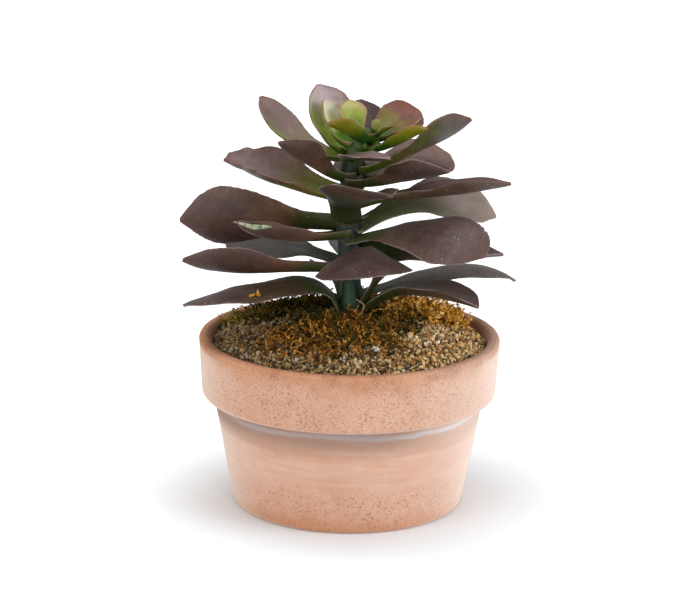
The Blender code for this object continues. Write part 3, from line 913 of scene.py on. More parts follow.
# %% Leaf outlines and table
SPOON = ((0, 0.40), (0.14, 0.40), (0.28, 0.50), (0.42, 0.72), (0.55, 0.94), (0.66, 1.0),
         (0.77, 0.93), (0.87, 0.68), (0.94, 0.36), (1.0, 0.045))
PADDLE = ((0, 0.34), (0.15, 0.38), (0.3, 0.56), (0.45, 0.80), (0.6, 0.97), (0.72, 1.0),
          (0.84, 0.86), (0.93, 0.55), (1.0, 0.06))
FAN = ((0, 0.24), (0.14, 0.22), (0.26, 0.34), (0.36, 0.72), (0.48, 0.97), (0.60, 1.0),
       (0.74, 0.90), (0.87, 0.66), (0.95, 0.40), (1.0, 0.05))
TORN = ((0, 0.46), (0.15, 0.52), (0.3, 0.68), (0.45, 0.88), (0.6, 1.0), (0.72, 0.96),
        (0.82, 0.66), (0.88, 0.62), (0.94, 0.40), (1.0, 0.22))
CUPPED = ((0, 0.54), (0.15, 0.58), (0.3, 0.70), (0.45, 0.86), (0.6, 0.98), (0.72, 1.0),
          (0.84, 0.84), (0.93, 0.54), (1.0, 0.06))
# Each row: height where it leaves the stalk, azimuth, length and width, then how steep its rib is
# at the stations and how far it has turned sideways there, its roll at root and tip, the half angle
# that its section bends through, its outline and its finish. Lengths in mm, angles in degrees.
STATIONS = (0, 0.25, 0.6, 1)
STRAIGHT = (0, 0, 0, 0)
Leaf = namedtuple("Leaf", "name height azimuth length width rise sweep roll cup outline finish")
LEVEL = (0, 0)
LEAVES = (
    # base whorl
    Leaf("base_left", 80.5, 202, 70, 24, (60, 3, -4, -12), STRAIGHT, (-18, 10), -14, CUPPED, "dusky"),
    Leaf("base_right_front", 79, 345, 52.5, 26, (44, 16, -2, -8), (0, -7, -17, -23),
         (0, -10), 35, SPOON, "dusky"),
    Leaf("base_right_back", 84.8, 35, 71, 23, (7, 9.5, 1, -42), (0, -11, -17, -20),
         (0, 0), -20, SPOON, "grey"),
    Leaf("base_front", 81.3, 322, 65, 23, (60, 50, -6, -38), (0, 0, -133, -160),
         (-5, -26), -18, FAN, "dusky"),
    Leaf("base_back", 81, 102, 50, 22, (30, 10, -10, -20), (0, -2, -4, -6), LEVEL, 35, SPOON, "dusky"),
    # lower whorl
    Leaf("lower_left", 95.8, 187, 62, 23, (0, -1, 4, 16), (0, -1, -3, -4),
         (20, 45), 40, SPOON, "maroon"),
    Leaf("lower_back_left", 98, 145, 58, 25, (10, 1, -6, -14), STRAIGHT, (0, -25), -15, SPOON, "grey"),
    Leaf("lower_right", 102, 345, 57, 24, (12, 2, -2, -2), (0, 6, 15, 25),
         (42, -5), 25, CUPPED, "dusky"),
    Leaf("lower_back", 94, 90, 50, 19, (6, 0, -4, -8), STRAIGHT, LEVEL, 35, SPOON, "dusky"),
    # middle whorl
    Leaf("middle_left", 113.3, 179, 62, 29, (2, 2, 0, -4), STRAIGHT, (45, 75), 22, SPOON, "maroon"),
    Leaf("middle_left_front", 109.4, 210, 46, 20, (0, 4, 14, 45), (0, -1, -2, -3),
         (10, 20), 50, SPOON, "maroon"),
    Leaf("middle_right_front", 108.8, 328, 59.5, 29.5, (20, 12, -4, -42), (0, 1, 2, 3),
         (12, 34), -25, PADDLE, "dusky"),
    Leaf("middle_right_back", 111.7, 22, 61, 27, (26, 16, -9, -35), (0, -3, -5, -6),
         (10, 36), 15, SPOON, "grey"),
    Leaf("middle_back", 108.3, 103, 46, 20, (4, -4, -10, -20), STRAIGHT, LEVEL, 35, SPOON, "dusky"),
    # upper whorl
    Leaf("upper_front", 116, 260, 56, 32, (58, 22, 14, 14), (0, 16, 37, 62),
         (0, -12), 32, SPOON, "maroon"),
    Leaf("upper_right", 121.8, 358, 59, 22, (16, 6, 8, 14), STRAIGHT, (0, -10), 45, SPOON, "dusky"),
    Leaf("upper_left", 124, 168, 47.5, 29, (10, 16, 17, 16), STRAIGHT, (-10, -12), 50, TORN, "shoulder"),
    Leaf("upper_back", 121, 85, 46, 20, (16, 12, 8, 4), STRAIGHT, LEVEL, 35, SPOON, "dusky"),
    # shoulder whorl
    Leaf("shoulder_left_front", 133, 214, 33, 21, (20, 32, 34, 30), STRAIGHT,
         (10, 20), 40, SPOON, "maroon"),
    Leaf("shoulder_right_front", 130.7, 324.5, 42, 25.5, (9, 14, 16, 14), STRAIGHT,
         (0, -20), 45, SPOON, "maroon"),
    Leaf("shoulder_right_back", 129.1, 37.5, 46, 27, (14, 11, 5, 1), STRAIGHT,
         (0, 26), 15, PADDLE, "dusky"),
    Leaf("shoulder_right", 135, 17.5, 47.5, 32, (14, 20, 24, 34), STRAIGHT,
         (-10, -40), 30, SPOON, "shoulder"),
    Leaf("shoulder_back", 136.6, 86, 43, 20, (16, 24, 28, 26), STRAIGHT, LEVEL, 35, SPOON, "dusky"),
    Leaf("shoulder_left", 139, 150, 45.5, 15.5, (2, 14, 38, 63), STRAIGHT,
         (0, -20), 45, CUPPED, "shoulder"),
    # crown
    Leaf("crown_front", 141, 246, 35, 12, (20, 12, 4, 10), (0, 32, 74, 92),
         (0, 0), 25, PADDLE, "mauve"),
    Leaf("crown_left", 142, 134, 31, 25, (10, 45, 70, 84), STRAIGHT, (0, 0), 50, CUPPED, "lilac"),
    Leaf("crown_right", 144.1, 338, 25.2, 12, (12, 22, 29, 29), (0, 0, 0, 0),
         (0, -20), 45, CUPPED, "lime"),
    Leaf("crown_right_back", 145.6, 51, 28, 21, (8, 16, 24, 30), (0, -6, -18, -28),
         (0, 35), 40, PADDLE, "rose"),
    Leaf("crown_inner_left", 145, 147, 20, 14, (20, 50, 65, 70), STRAIGHT, (0, 0), 50, CUPPED, "pale heart"),
    Leaf("crown_inner_back", 147.6, 123, 15.5, 12.5, (30, 56, 68, 76), (0, -2, -5, -8),
         (0, 0), 50, CUPPED, "yellow heart"),
    Leaf("crown_inner_right", 148, 4, 19, 12, (10, 24, 32, 38), (0, 2, 4, 6),
         (0, 20), 45, CUPPED, "rose"),
    Leaf("crown_inner_front", 148.5, 245, 20, 13, (14, 30, 26, 16), (0, -14, -36, -54),
         (10, 25), 45, CUPPED, "lime"),
)
print("leaves:", len(LEAVES), "of", min(r.length for r in LEAVES), "to", max(r.length for r in LEAVES), "mm")

# %% [markdown]
# No two leaves are alike, so each visible one has its habit: its tone, which partly paints the light
# and shade that it catches, how much further its green reaches, how powdery it is, and how green its
# left and right sides are, seen from the stalk.

# %% Leaf habits
Habit = namedtuple("Habit", "brightness green powder left right", defaults=(0, 0))
USUAL_HABIT = Habit(1, 0, 1)
# The first number lightens or darkens a leaf: its own tone, and partly painted light and shade to match the
# light it catches.
HABITS = {
    "base_left": Habit(0.85, 0.14, 0.7, 0.5), "base_right_front": Habit(0.95, 0.22, 0.6, 0, 0.8),
    "base_right_back": Habit(0.62, 0, 0.7), "base_front": Habit(0.88, 0, 0.8),
    "lower_left": Habit(1, 0.04, 0.6, 0, 0.2), "lower_back_left": Habit(0.36, 0.14, 0.4, 0.3, 0.3),
    "lower_right": Habit(0.8, 0.10, 0.8), "middle_left": Habit(1.08, 0.05, 0.8, 0.2),
    "middle_left_front": Habit(1, 0, 0.8), "middle_right_front": Habit(1.02, 0.04, 1),
    "middle_right_back": Habit(1.6, 0.20, 1.2, 0, 0.5), "upper_front": Habit(0.44, 0.44, 0.3, 0.4, 0.6),
    "upper_right": Habit(1.3, 0, 1.1, 0, 0.3), "upper_left": Habit(0.86, 0, 0.4, 0.2),
    "shoulder_left_front": Habit(0.95, 0.04, 0.8, 0.2),
    "shoulder_right_front": Habit(0.74, 0.06, 0.7, 0, 0.3), "shoulder_right_back": Habit(1.9, 0, 1.5),
    "shoulder_right": Habit(0.74, 0, 0.5, 0, 0.9), "shoulder_back": Habit(0.75, 0, 0.6),
    "shoulder_left": Habit(1.2, 0.04, 1.2, 1.3), "crown_left": Habit(0.94, 0.04, 0.6, 1.4),
    "crown_front": Habit(0.62, 0.04, 0.5), "crown_inner_front": Habit(0.85, 0, 0.5),
}

# %% Leaf rib
RIB_THICKNESS, EDGE_THICKNESS, TIP_THINNING = 1.9 * MM, 0.7 * MM, 0.55
SEAT = 0.3 * MM
RIB_STEPS = 12


def leaf_root(leaf):
    """The rib's first point, as near the stalk as the root's raised edges and lower corner allow."""
    centre, radius = stem_at(leaf.height * MM)
    turn = math.radians(leaf.azimuth)
    overhang = stem_lean(leaf.height * MM) * math.cos(turn)
    half_width = leaf.width / 2 * MM * leaf.outline[0][1]
    edge_rise = half_width * max(math.sin(math.radians(leaf.cup)), 0) / 2
    steepness = abs(math.sin(math.radians(leaf.rise[0])))
    stand_off = radius * math.hypot(1, overhang) + SEAT
    stand_off += RIB_THICKNESS * max(-overhang, 0) + edge_rise * steepness
    return centre + Vector((math.cos(turn), math.sin(turn), 0)) * stand_off, stand_off


def leaf_turn(leaf, u):
    """At u, the share of the leaf's length: the directions along the rib, sideways and up."""
    rise, turned = smooth_line(list(zip(STATIONS, leaf.rise, leaf.sweep)), u)
    a = math.radians(leaf.azimuth + turned)
    e = math.radians(rise)
    along = Vector((math.cos(e) * math.cos(a), math.cos(e) * math.sin(a), math.sin(e)))
    side = Vector((-math.sin(a), math.cos(a), 0))
    tilt = Matrix.Rotation(math.radians(lerp(*leaf.roll, u)), 3, along)
    return along, tilt @ side, tilt @ along.cross(side)


def leaf_rib(leaf):
    """Rib points as knots (u, x, y, z)."""
    point, _ = leaf_root(leaf)
    knots = []
    for k in range(RIB_STEPS + 1):
        knots.append((k / RIB_STEPS, *point))
        point = point + leaf_turn(leaf, k / RIB_STEPS)[0] * (leaf.length * MM / RIB_STEPS)
    return knots


# %% [markdown]
# A blade's section is an arc, cupped or arched, with a channel down its upper face and a keel below
# it. A few rows of points run back inside the stalk, so that no gap shows where the leaf joins.

# %% Leaf margin and blade
ALONG_STEPS, ACROSS_STEPS, ROOT_STEPS = 80, 18, 4
EDGE_WAVE, FEWEST_WAVES, MOST_WAVES, WAVE_LAG = 0.45 * MM, 2.2, 3.4, 1.6
TOOTH, NICK, NICK_CHANCE = 0.20 * MM, 0.55 * MM, 0.035
ROOT_DEPTH, ROOT_WIDENING, ROOT_SWELLING = 0.72, 0.25, 0.7
CHANNEL_DEPTH, CHANNEL_WIDTH, KEEL_DEPTH, KEEL_WIDTH = 0.35 * MM, 0.16, 0.3 * MM, 0.14
UNEVENNESS = ((75, 0.32 * MM), (230, 0.08 * MM))  # dents in a metre and their depth
FULL_SIZE_WIDTH = 22  # mm; a narrower leaf has shallower waves, dents and channel
THIN_BELOW_WIDTH = 12  # mm


def margin_teeth(leaf):
    """How far the margin is pushed out at each row, left and right: fine teeth and a few nicks."""
    draw = random.Random("teeth " + leaf.name)
    rows = []
    for k in range(ALONG_STEPS + 1):
        u = k / ALONG_STEPS
        fade = min(1, 5 * u, 14 * (1 - u)) * min(1, leaf.width / 20)
        pair = [TOOTH * draw.uniform(-1, 1) for _ in range(2)]
        rows.append([(p - NICK * (draw.random() < NICK_CHANCE) * draw.random()) * fade for p in pair])
    return rows


def leaf_blade(leaf):
    """A closed blade: rings of points round each cross-section, from inside the stalk to the tip."""
    knots = leaf_rib(leaf)
    cup = math.radians(leaf.cup)
    draw = random.Random("leaf_" + leaf.name)
    phase, waves = draw.uniform(0, 2 * math.pi), draw.uniform(FEWEST_WAVES, MOST_WAVES)
    teeth = margin_teeth(leaf)
    shift = Vector((draw.uniform(0, 9), draw.uniform(0, 9), draw.uniform(0, 9)))
    fine = min(1, leaf.width / FULL_SIZE_WIDTH)
    _, stand_off = leaf_root(leaf)
    away = Vector((math.cos(math.radians(leaf.azimuth)), math.sin(math.radians(leaf.azimuth)), 0))
    columns = [math.sin(math.pi / 2 * (2 * k / ACROSS_STEPS - 1)) for k in range(ACROSS_STEPS + 1)]
    ring = [(v, 1) for v in columns] + [(v, 0) for v in columns[-2:0:-1]]
    points, skin = [], []
    rows = [(0, (ROOT_STEPS - k) / ROOT_STEPS) for k in range(ROOT_STEPS)]
    rows += [(k / ALONG_STEPS, 0) for k in range(ALONG_STEPS + 1)]
    for u, inward in rows:
        rib = Vector(smooth_line(knots, u)) - away * stand_off * ROOT_DEPTH * inward
        _, side, up = leaf_turn(leaf, u)
        half = leaf.width / 2 * MM * smooth_line(leaf.outline, u)[0] * (1 + ROOT_WIDENING * inward)
        left, right = teeth[round(u * ALONG_STEPS)]
        for v, is_upper in ring:
            angle = v * cup
            tooth = (right if v > 0 else -left) * abs(v) ** 5 * (1 - inward)
            lateral = half / cup * math.sin(angle) + tooth
            lift = half / cup * (1 - math.cos(angle))
            swing = math.sin(2 * math.pi * waves * u + phase + WAVE_LAG * v)
            lift += EDGE_WAVE * fine * swing * v * v * min(1, 3 * u, 3 * (1 - u))
            normal = up * math.cos(angle) - side * math.sin(angle)
            point = rib + side * lateral + up * lift
            dent = fine * sum(noise.noise(point * scale + shift) * depth for scale, depth in UNEVENNESS)
            full = EDGE_THICKNESS + (RIB_THICKNESS - EDGE_THICKNESS) * (1 - v * v) * (1 - TIP_THINNING * u)
            full *= min(1, leaf.width / THIN_BELOW_WIDTH) * (1 + ROOT_SWELLING * inward)
            thick = full * math.sqrt(max(0, 1 - abs(v) ** 9))
            channel = bell(v, CHANNEL_WIDTH) * (1 - u) * min(1, 4 * u) * CHANNEL_DEPTH * fine
            down = (full - thick) * 0.5 + channel - dent * min(1, 5 * u)
            if not is_upper:
                keel = bell(v, KEEL_WIDTH) * (1 - u) * KEEL_DEPTH * fine
                down += thick + keel - channel
            points.append(point - normal * down)
            skin.append((u, v, is_upper if abs(v) < 1 else 0.5))
    sides = len(ring)
    first = sum(points[:sides], Vector()) / sides
    last = sum(points[-sides:], Vector()) / sides
    points = [first, *points, last]
    skin = [(0, 0, 0.5), *skin, (1, 0, 0.5)]
    return points, ring_faces(len(rows), sides), skin


# %% Make the leaves
def add_skin(obj, skin, habit):
    count = len(obj.data.vertices)
    add_attribute(obj, "skin", skin, "FLOAT_VECTOR")
    add_attribute(obj, "habit", [habit[:3]] * count, "FLOAT_VECTOR")
    add_attribute(obj, "flank", [(habit.left, habit.right, 0)] * count, "FLOAT_VECTOR")


def make_leaf(leaf, name, habit, slot, *nodes):
    points, faces, skin = leaf_blade(leaf)
    obj = mesh_object(name, points, faces, leaf_skins[leaf.finish])
    add_skin(obj, skin, habit)
    return finish_piece(obj, slot, *nodes)


blades = {}
for leaf in LEAVES:
    habit = HABITS.get(leaf.name, USUAL_HABIT)
    slot = "leaf green" if "crown" in leaf.name else "leaf purple"
    blades[leaf.name] = make_leaf(leaf, "blade_" + leaf.name, habit, slot, "leaf_" + leaf.name)

# %% [markdown]
# The bud is the youngest leaves, still rolled round each other: a drawn-out ball with three
# spiral folds. It sits on the stalk's end, in the direction that the stalk leans.

# %% Make the bud
BUD_RADIUS, BUD_LENGTH, BUD_FOLDS, BUD_TWIST = 1.7 * MM, 4.0 * MM, 3, 2.4
BUD_RINGS, BUD_SIDES = 40, 54
BUD_FOLD_DEPTH, BUD_TAPER = 0.38, 0.55
bud_foot, _ = stem_at(150 * MM)
bud_along = (bud_foot - stem_at(149 * MM)[0]).normalized()
bud_turn = Vector((0, 0, 1)).rotation_difference(bud_along).to_matrix()
bud_centre = bud_foot + bud_along * (BUD_LENGTH / 2 - 0.4 * MM)
points, skin = [Vector((0, 0, -BUD_LENGTH / 2))], [(0, 0, 0)]
for ring in range(1, BUD_RINGS):
    climb = -math.cos(math.pi * ring / BUD_RINGS)
    for side in range(BUD_SIDES):
        turn = 2 * math.pi * side / BUD_SIDES
        fold = (BUD_FOLDS * turn + BUD_TWIST * climb) / (2 * math.pi) % 1
        taper = (1 - BUD_TAPER * max(climb, 0)) * math.sqrt(1 - climb * climb)
        wide = BUD_RADIUS * lerp(1 - BUD_FOLD_DEPTH, 1, fold**0.6) * taper
        points.append(Vector((wide * math.cos(turn), wide * math.sin(turn), climb * BUD_LENGTH / 2)))
        skin.append(((climb + 1) / 2, 2 * fold - 1, 0))
points.append(Vector((0, 0, BUD_LENGTH / 2)))
skin.append((1, 0, 0))
points = [bud_turn @ p + bud_centre for p in points]
bud = mesh_object("furled_bud", points, ring_faces(BUD_RINGS - 1, BUD_SIDES), leaf_skins["lime"])
add_skin(bud, skin, USUAL_HABIT)
finish_piece(bud, "leaf green", "leaf_crown_bud")

# %% [markdown]
# Four leaves of a few millimetres stand round the bud. They are too small for solids of their own,
# but the same rows and the same function make them.

# %% Newest leaves
NEWEST_HABIT = Habit(0.8, 0.1, 0.2, 0, 0)
NEWEST_LEAVES = (
    Leaf("newest_right", 149.6, 4, 6.4, 4.0, (30, 30, 30, 34), STRAIGHT, (0, 0), 45, CUPPED, "lime"),
    Leaf("newest_front", 149.0, 318, 7.5, 4.4, (34, 40, 40, 44), (0, 4, 10, 16), (0, 0), 45, CUPPED, "lime"),
    Leaf("newest_back", 149.6, 70, 6.0, 4.2, (30, 44, 50, 50), (0, -5, -12, -20), (0, 0), 45, CUPPED,
         "yellow heart"),
    Leaf("newest_left", 149.5, 200, 5.0, 3.6, (60, 78, 84, 88), STRAIGHT, (0, 0), 45, CUPPED, "lime"),
)
for leaf in NEWEST_LEAVES:
    make_leaf(leaf, leaf.name, NEWEST_HABIT, "leaf green")

# %% [markdown]
# The stalk's rind is dark, smooth and green. It is lighter at its foot and near the crown, and each
# leaf joint has a corky line, which the mesh hands over as an attribute called *scar*.

# %% Stalk material
FOOT_BELOW, TOP_ABOVE = (0.096, 0.082), (0.134, 0.146)

stalk_green, place, rind = new_material("stalk green", roughness=0.5, specular=0.45)
_, _, height = split(place)
patches = blotched(place, 120.0, 0.3, 0.7)
fine = cloud(place, 500, 3, 0.6)
colour = mix(patches, screen_colour(12, 23, 17), screen_colour(22, 33, 16))
colour = mix(ease(height + patches * 0.004, *FOOT_BELOW) * 0.6, colour, screen_colour(44, 84, 40))
colour = mix(ease(height, *TOP_ABOVE) * 0.6, colour, screen_colour(66, 96, 34))
colour = mix(attribute(place.tree, "scar") * 0.55, colour, screen_colour(70, 60, 36))
colour = mix(ease(fine, 0.5, 0.8) * 0.20, colour, screen_colour(74, 96, 70))
colour.to(rind["Base Color"])
(0.36 + fine * 0.3).to(rind["Roughness"])
bump(fine, 0.25 * MM).to(rind["Normal"])
print("material:", stalk_green.name)

# %% Raise the stalk
STALK_RINGS, STALK_SIDES = 190, 48
JOINT_SWELLING, MOST_SWELLING, JOINT_HEIGHT = 0.85, 1.2, 2.4  # mm
SCAR_BELOW, SCAR_WIDTH = 2.2, 0.5  # mm
SCAR_DEPTH, ROUGHNESS = 0.18 * MM, 0.22 * MM

stalk_low, stalk_high = STEM_AXIS_MM[0][2] * MM, STEM_AXIS_MM[-1][2] * MM
joints = [(leaf.height * MM, math.radians(leaf.azimuth)) for leaf in LEAVES]
points, scars = [], []
for ring in range(STALK_RINGS):
    h = lerp(stalk_low, stalk_high, ring / (STALK_RINGS - 1))
    centre, radius = stem_at(h)
    lean = stem_lean(min(h, stalk_high - MM))
    across_axis, back_axis = Vector((1, 0, -lean)).normalized(), Vector((0, 1, 0))
    for side in range(STALK_SIDES):
        turn = 2 * math.pi * side / STALK_SIDES
        swelling = scar_here = 0
        for joint_height, joint_turn in joints:
            towards = max(0, math.cos(turn - joint_turn))
            off = (h - joint_height) / MM
            swelling += JOINT_SWELLING * towards**3 * bell(off, JOINT_HEIGHT)
            scar_here = max(scar_here, towards**2 * bell(off + SCAR_BELOW, SCAR_WIDTH))
        swelling = min(swelling, MOST_SWELLING) * MM
        out_way = across_axis * math.cos(turn) + back_axis * math.sin(turn)
        rough = ROUGHNESS * noise.noise((centre + out_way * radius) * 260)
        points.append(centre + out_way * (radius + swelling + rough - SCAR_DEPTH * scar_here))
        scars.append(scar_here)
points = [stem_at(stalk_low)[0], *points, stem_at(stalk_high)[0] + Vector((0.6, 0, 0.6)) * MM]
stalk = mesh_object("stalk", points, ring_faces(STALK_RINGS, STALK_SIDES), stalk_green)
add_attribute(stalk, "scar", [0, *scars, 0])
finish_piece(stalk, "stem green", "stem")

# %% [markdown]
# ## Moss
# Dried moss lies on the grit in tangled clumps: gold at the right, rust and olive in front of the
# stalk, dark behind it, a thin wisp at the left. A second Geometry Nodes tree grows it. Points on
# the bed become short coils, thrown about at all angles and bent by a noise. Each gets a thin tube,
# and blunt leaflets are set along it. A value called *tip* runs from 0 at a strand's foot to 1 at
# its end, so that the shader can keep the heart of a clump dark and its ends bright.

# %% Moss material
HEART_DARKNESS = 0.45


def moss_material(label, *shades):
    made, place, surface = new_material("moss " + label, roughness=0.9, specular=0.15)
    tone = attribute(place.tree, "tone") + (cloud(place, 260, 3) - 0.5)
    colours = ramp(tone, [(k / (len(shades) - 1), shade) for k, shade in enumerate(shades)])
    heart = screen_colour(*(HEART_DARKNESS * c for c in shades[0]))
    mix(ease(attribute(place.tree, "tip"), -0.15, 0.5), heart, colours).to(surface["Base Color"])
    bump(cloud(place, 2600, 2), 0.05 * MM).to(surface["Normal"])
    return made


MOSS_COLOURS = {
    "gold": moss_material("gold", (150, 96, 26), (214, 152, 52), (238, 184, 80), (252, 216, 128)),
    "rust": moss_material("rust", (60, 46, 14), (96, 66, 18), (150, 96, 34), (212, 148, 62)),
    "olive": moss_material("olive", (30, 32, 10), (62, 60, 18), (96, 80, 26), (140, 108, 40)),
    "wisp": moss_material("wisp", (90, 84, 26), (150, 130, 48), (190, 164, 80)),
}
print("moss in", len(MOSS_COLOURS), "colours")

# %% Moss tree: strands
moss, given, out = new_tree(
    "GeometryNodeTree", "grow moss",
    {"Mesh": "Geometry", "Density": 1e6, "Length": 6e-3, "Thickness": 2e-4, "Curl": 4e-3,
     "Leaflet": 8e-4, "Lean": 1.1, "Seed": 1, "Material": MOSS_COLOURS["gold"]},
    {"Mesh": "Geometry"},
)
seed = given["Seed"]
coil = node(moss, "GeometryNodeCurveSpiral", {
    "Resolution": 8, "Rotations": 0.95, "Start Radius": 0.34, "End Radius": 0.10, "Height": 0.95,
})["Curve"]
lean_right, lean_back = (given["Lean"] * random_between(-1.0, 1.0, s) for s in (seed, seed + 1))
tilt = as_vector(moss, lean_right, lean_back, random_between(0.0, FULL_TURN, seed + 2))
tall = given["Length"] * random_between(0.45, 1.25, seed + 3)
placed = set_on(points_on(given, "moss"), coil, tilt, tall)
strands = made_real(stored(placed, "tone", random_between(0.0, 1.0, seed + 4), "INSTANCE"))
share = node(moss, "GeometryNodeSplineParameter")["Factor"]
strands = shaken(stored(strands, "tip", share, "POINT"), 330.0, 2.0, given["Curl"])

# %% Moss tree: tubes and leaflets
circle = {"Resolution": 3, "Radius": given["Thickness"]}
circle = node(moss, "GeometryNodeCurvePrimitiveCircle", circle)["Curve"]
tubes = node(moss, "GeometryNodeCurveToMesh", {
    "Curve": strands, "Profile Curve": circle, "Scale": 1.0 - share * 0.5, "Fill Caps": True,
})["Mesh"]
leaflet = {"Vertices": 4, "Radius Top": 0.14, "Radius Bottom": 0.34, "Depth": 0.9}
leaflet = node(moss, "GeometryNodeMeshCone", leaflet)["Mesh"]
seats = node(moss, "GeometryNodeCurveToPoints", {"Curve": strands}, mode="EVALUATED")["Points"]
leaflet_size = given["Leaflet"] * random_between(0.5, 1.4, seed + 7)
leaflets = set_on(seats, leaflet, random_between((0, 0, 0), ANY_WAY, seed + 6), leaflet_size)
together = node(moss, "GeometryNodeJoinGeometry")
for part in (tubes, leaflets):
    part.to(together.made.inputs[0])
finish_tree(together[0], given, out)
print("tree:", moss.name, "with", len(moss.nodes), "nodes")

# %% Grow the moss
Tuft = namedtuple("Tuft", "colour ovals density length thickness curl leaflet lean seed")
TUFTS = {
    # ovals: centre x, y and half-sizes, mm
    "moss_gold": Tuft("gold", ((22, 16, 16, 13), (36, 12, 10, 12)), 0.85e6, 8.4, 0.34, 4.5, 1.35, 0.95, 2),
    "moss_rust": Tuft("rust", ((-9, -26, 30, 15), (10, -14, 16, 12)), 0.45e6, 5.8, 0.24, 5, 0.95, 1.3, 4),
    "moss_olive": Tuft("olive", ((-3, -18, 26, 18), (-24, 10, 20, 12), (14, -4, 14, 14)),
                       0.44e6, 4.6, 0.28, 4, 1.0, 1.25, 6),
    "moss_dark": Tuft("olive", ((-30, 22, 20, 13), (-6, 28, 22, 12)), 0.44e6, 6.2, 0.32, 4.5, 1.1, 1.0, 11),
    "moss_wisp": Tuft("wisp", ((-46, 22, 8, 7),), 0.5e6, 6.5, 0.20, 5, 0.8, 1.0, 9),
}


def tuft_weights(ovals):
    """1 in the middle of each oval, fading out by its rim, with ragged edges."""
    weights = []
    for p in bed_points:
        best = 0
        for x, y, wide, deep in ovals:
            off = math.hypot((p.x / MM - x) / wide, (p.y / MM - y) / deep)
            ragged = off + 0.5 * noise.noise(p * 170)
            best = max(best, min(1, max(0, (1 - ragged) * 2.6)))
        weights.append(best if on_top(p) else 0)
    return weights


def grow_tuft(name, ground, weights, tuft):
    add_attribute(ground, "moss", weights)
    sizes = {label: getattr(tuft, label.lower()) * MM for label in ("Length", "Thickness", "Curl", "Leaflet")}
    tangle = grown(
        name, ground, moss, Density=tuft.density, Lean=tuft.lean, Seed=tuft.seed,
        Material=MOSS_COLOURS[tuft.colour], **sizes,
    )
    ground.data.attributes.remove(ground.data.attributes["moss"])
    finish_piece(tangle, "grit", smooth=False)


for name, tuft in TUFTS.items():
    grow_tuft(name, bed, tuft_weights(tuft.ovals), tuft)

# %% [markdown]
# ## Small finds
# A crumb of moss has been caught on the lowest left leaf, a dried rootlet lies at the stalk's foot,
# a pale strip of skin hangs on a middle leaf, and three side buds sit below the crown. The crumb is
# the moss tree again, with the leaf as its ground. The others are threads drawn through a few points.

# %% Moss caught on a leaf
# Where it sits: share of the leaf's length, how far off its rib, and how far it reaches.
CAUGHT_ALONG, CAUGHT_ACROSS, CAUGHT_REACH = 0.60, 0.60, 0.022
CAUGHT = Tuft("gold", (), 6e6, 2.6, 0.26, 2.4, 0.9, 1.4, 15)

ground = bpy.data.objects.new("moss_ground", blades["base_left"].data.copy())
skin_here = np.zeros(3 * len(ground.data.vertices), np.float32)
ground.data.attributes["skin"].data.foreach_get("vector", skin_here)
near_spot = [
    max(0, 1 - math.hypot((u - CAUGHT_ALONG) / CAUGHT_REACH, (v - CAUGHT_ACROSS) / (4 * CAUGHT_REACH)))
    * (face > 0.5) for u, v, face in skin_here.reshape(-1, 3)
]
grow_tuft("moss_caught", ground, near_spot, CAUGHT)
bpy.data.objects.remove(ground)

# %% Knots of the threads
# Each knot: share of the thread's length, x, y, z and radius in mm.
ROOTLET = (
    (0, 2.6, -4.4, 83.5, 0.30), (0.3, 5.6, -8.0, 82.0, 0.34), (0.6, 4.6, -8.6, 78.5, 0.30),
    (0.8, 5.6, -8.8, 76.5, 0.26), (1, 4.2, -9.4, 72.5, 0.14),
)
TORN_STRIP = (
    (0, -45.0, -26.0, 119.6, 0.2), (0.3, -41.0, -26.0, 118.6, 0.6), (0.5, -37.6, -25.6, 117.6, 1.0),
    (0.8, -33.0, -24.6, 117.4, 0.8), (1, -28.4, -23.0, 117.6, 0.2),
)
SIDE_BUDS = {
    "side_bud_low": ((0, 6.0, -3.0, 143.0, 0.5), (0.4, 7.6, -4.8, 144.0, 1.3), (1, 9.2, -6.6, 145.6, 0.2)),
    "side_bud_high": ((0, 6.6, -1.4, 143.6, 0.5), (0.5, 9.6, -3.8, 146.0, 1.2), (1, 10.6, -4.6, 147.8, 0.2)),
    "side_bud_left": ((0, 4.4, -3.6, 143.6, 0.4), (0.5, 4.8, -5.2, 145.2, 1.1), (1, 5.2, -6.2, 147.0, 0.2)),
}

# %% Dry skin materials
dry_root, place, thread = new_material("dry rootlet", roughness=0.8, specular=0.3)
flakes = cloud(place, 900, 3, 0.7)
mix(flakes, screen_colour(96, 66, 40), screen_colour(196, 164, 128)).to(thread["Base Color"])
bump(flakes, 0.08 * MM).to(thread["Normal"])

torn_green, place, strip = new_material("torn leaf strip", roughness=0.6, specular=0.3)
flakes = cloud(place, 420, 3, 0.7)
faded = ease(flakes, 0.35, 0.65)
mix(faded, screen_colour(92, 104, 76), screen_colour(186, 190, 162)).to(strip["Base Color"])
bump(flakes, 0.1 * MM).to(strip["Normal"])
print("materials:", dry_root.name, "and", torn_green.name)

# %% Draw the rootlet, the side buds and the torn strip
STRAND_ROWS = 24
SIDE_BUD_HABIT = Habit(0.9, 0, 0.3)


def strand(name, knots, material, sides=8, flatten=1.0):
    """A tapered thread through knots of (share, x, y, z, radius), all in millimetres."""
    line = [smooth_line(knots, k / (STRAND_ROWS - 1)) for k in range(STRAND_ROWS)]
    points = []
    for k, (x, y, z, radius) in enumerate(line):
        centre = Vector((x, y, z)) * MM
        ahead = Vector(line[min(k + 1, STRAND_ROWS - 1)][:3]) - Vector(line[max(k - 1, 0)][:3])
        ahead.normalize()
        side = ahead.cross(Vector((0, 1, 0))).normalized()
        lift = side.cross(ahead)
        for turn in (2 * math.pi * s / sides for s in range(sides)):
            points.append(centre + (side * math.cos(turn) + lift * math.sin(turn) * flatten) * radius * MM)
    points = [Vector(line[0][:3]) * MM, *points, Vector(line[-1][:3]) * MM]
    return mesh_object(name, points, ring_faces(STRAND_ROWS, sides), material)


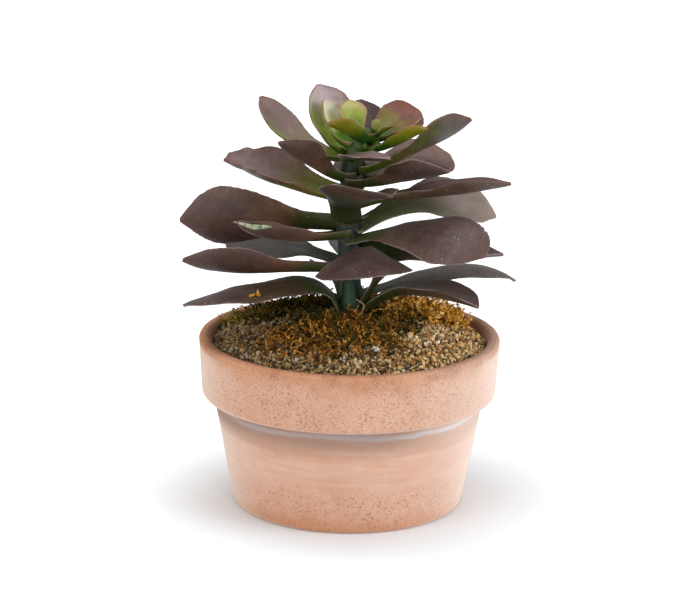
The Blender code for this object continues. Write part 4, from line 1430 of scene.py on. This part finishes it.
finish_piece(strand("rootlet", ROOTLET, dry_root), "stem green")
finish_piece(strand("torn_strip", TORN_STRIP, torn_green, flatten=0.4), "leaf green")
for name, knots in SIDE_BUDS.items():
    side_bud = strand(name, knots, leaf_skins["lime"], sides=20)
    add_skin(side_bud, [(0.3, 0, 0)] * len(side_bud.data.vertices), SIDE_BUD_HABIT)
    finish_piece(side_bud, "leaf green")

# %% [markdown]
# ## Floor
# A white sweep of paper. It is part of the studio, not of the plant, so it is marked as stage.
# The lamps light the paper near the pot, and a glow that only the camera sees keeps the far
# paper white, so it throws no light up under the leaves. Nearer in, the glow also paints light over
# the lamps' shadow round the pot, least round a point right of and in front of the pot's axis, so
# the soft shadow left there is partly painted.

# %% Lay the floor
FLOOR_HALF = 4.0
NEAR_GLOW, FAR_GLOW = 0.48, 0.40
NEAR_FROM, FAR_FROM = (0.044, 0.135), (0.15, 1.2)
SHADOW_CENTRE = (10 * MM, -8 * MM, 0)
PAPER_DARK, PAPER_LIGHT = (0.87, 0.915, 0.945, 1), (0.91, 0.955, 0.985, 1)
BLACK, WHITE = (0, 0, 0, 1), (1, 1, 1, 1)

paper, place, sheet = new_material("white paper", roughness=0.8, specular=0.1)
mix(cloud(place, 900, 2), PAPER_DARK, PAPER_LIGHT).to(sheet["Base Color"])
off_centre = vector_maths("DISTANCE", place, SHADOW_CENTRE)
seen = node(place.tree, "ShaderNodeLightPath")["Is Camera Ray"]
# Painted light: near the pot the glow lifts the lamps' shadow on the paper, least round SHADOW_CENTRE, so the
# shadow left there is partly painted.
glow = (ease(off_centre, *NEAR_FROM) * NEAR_GLOW + ease(off_centre, *FAR_FROM) * FAR_GLOW) * seen
mix(glow, BLACK, WHITE).to(sheet["Emission Color"])
sheet["Emission Strength"].default_value = 1
corners = [(x * FLOOR_HALF, y * FLOOR_HALF, 0) for x, y in ((-1, -1), (1, -1), (1, 1), (-1, 1))]
floor = mesh_object("floor", corners, [(0, 1, 2, 3)], paper)
floor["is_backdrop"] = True
print("floor:", 2 * FLOOR_HALF, "m wide, as stage")

# %% Check the size and finish
size = {"cad": [list(c) for c in CAD_BOX], "visual": [list(c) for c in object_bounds()]}
for corner, solid, dressed in zip(("lowest", "highest"), size["cad"], size["visual"]):
    print(corner, "corner past the solids', mm:", [round((d - s) / MM, 2) for s, d in zip(solid, dressed)])
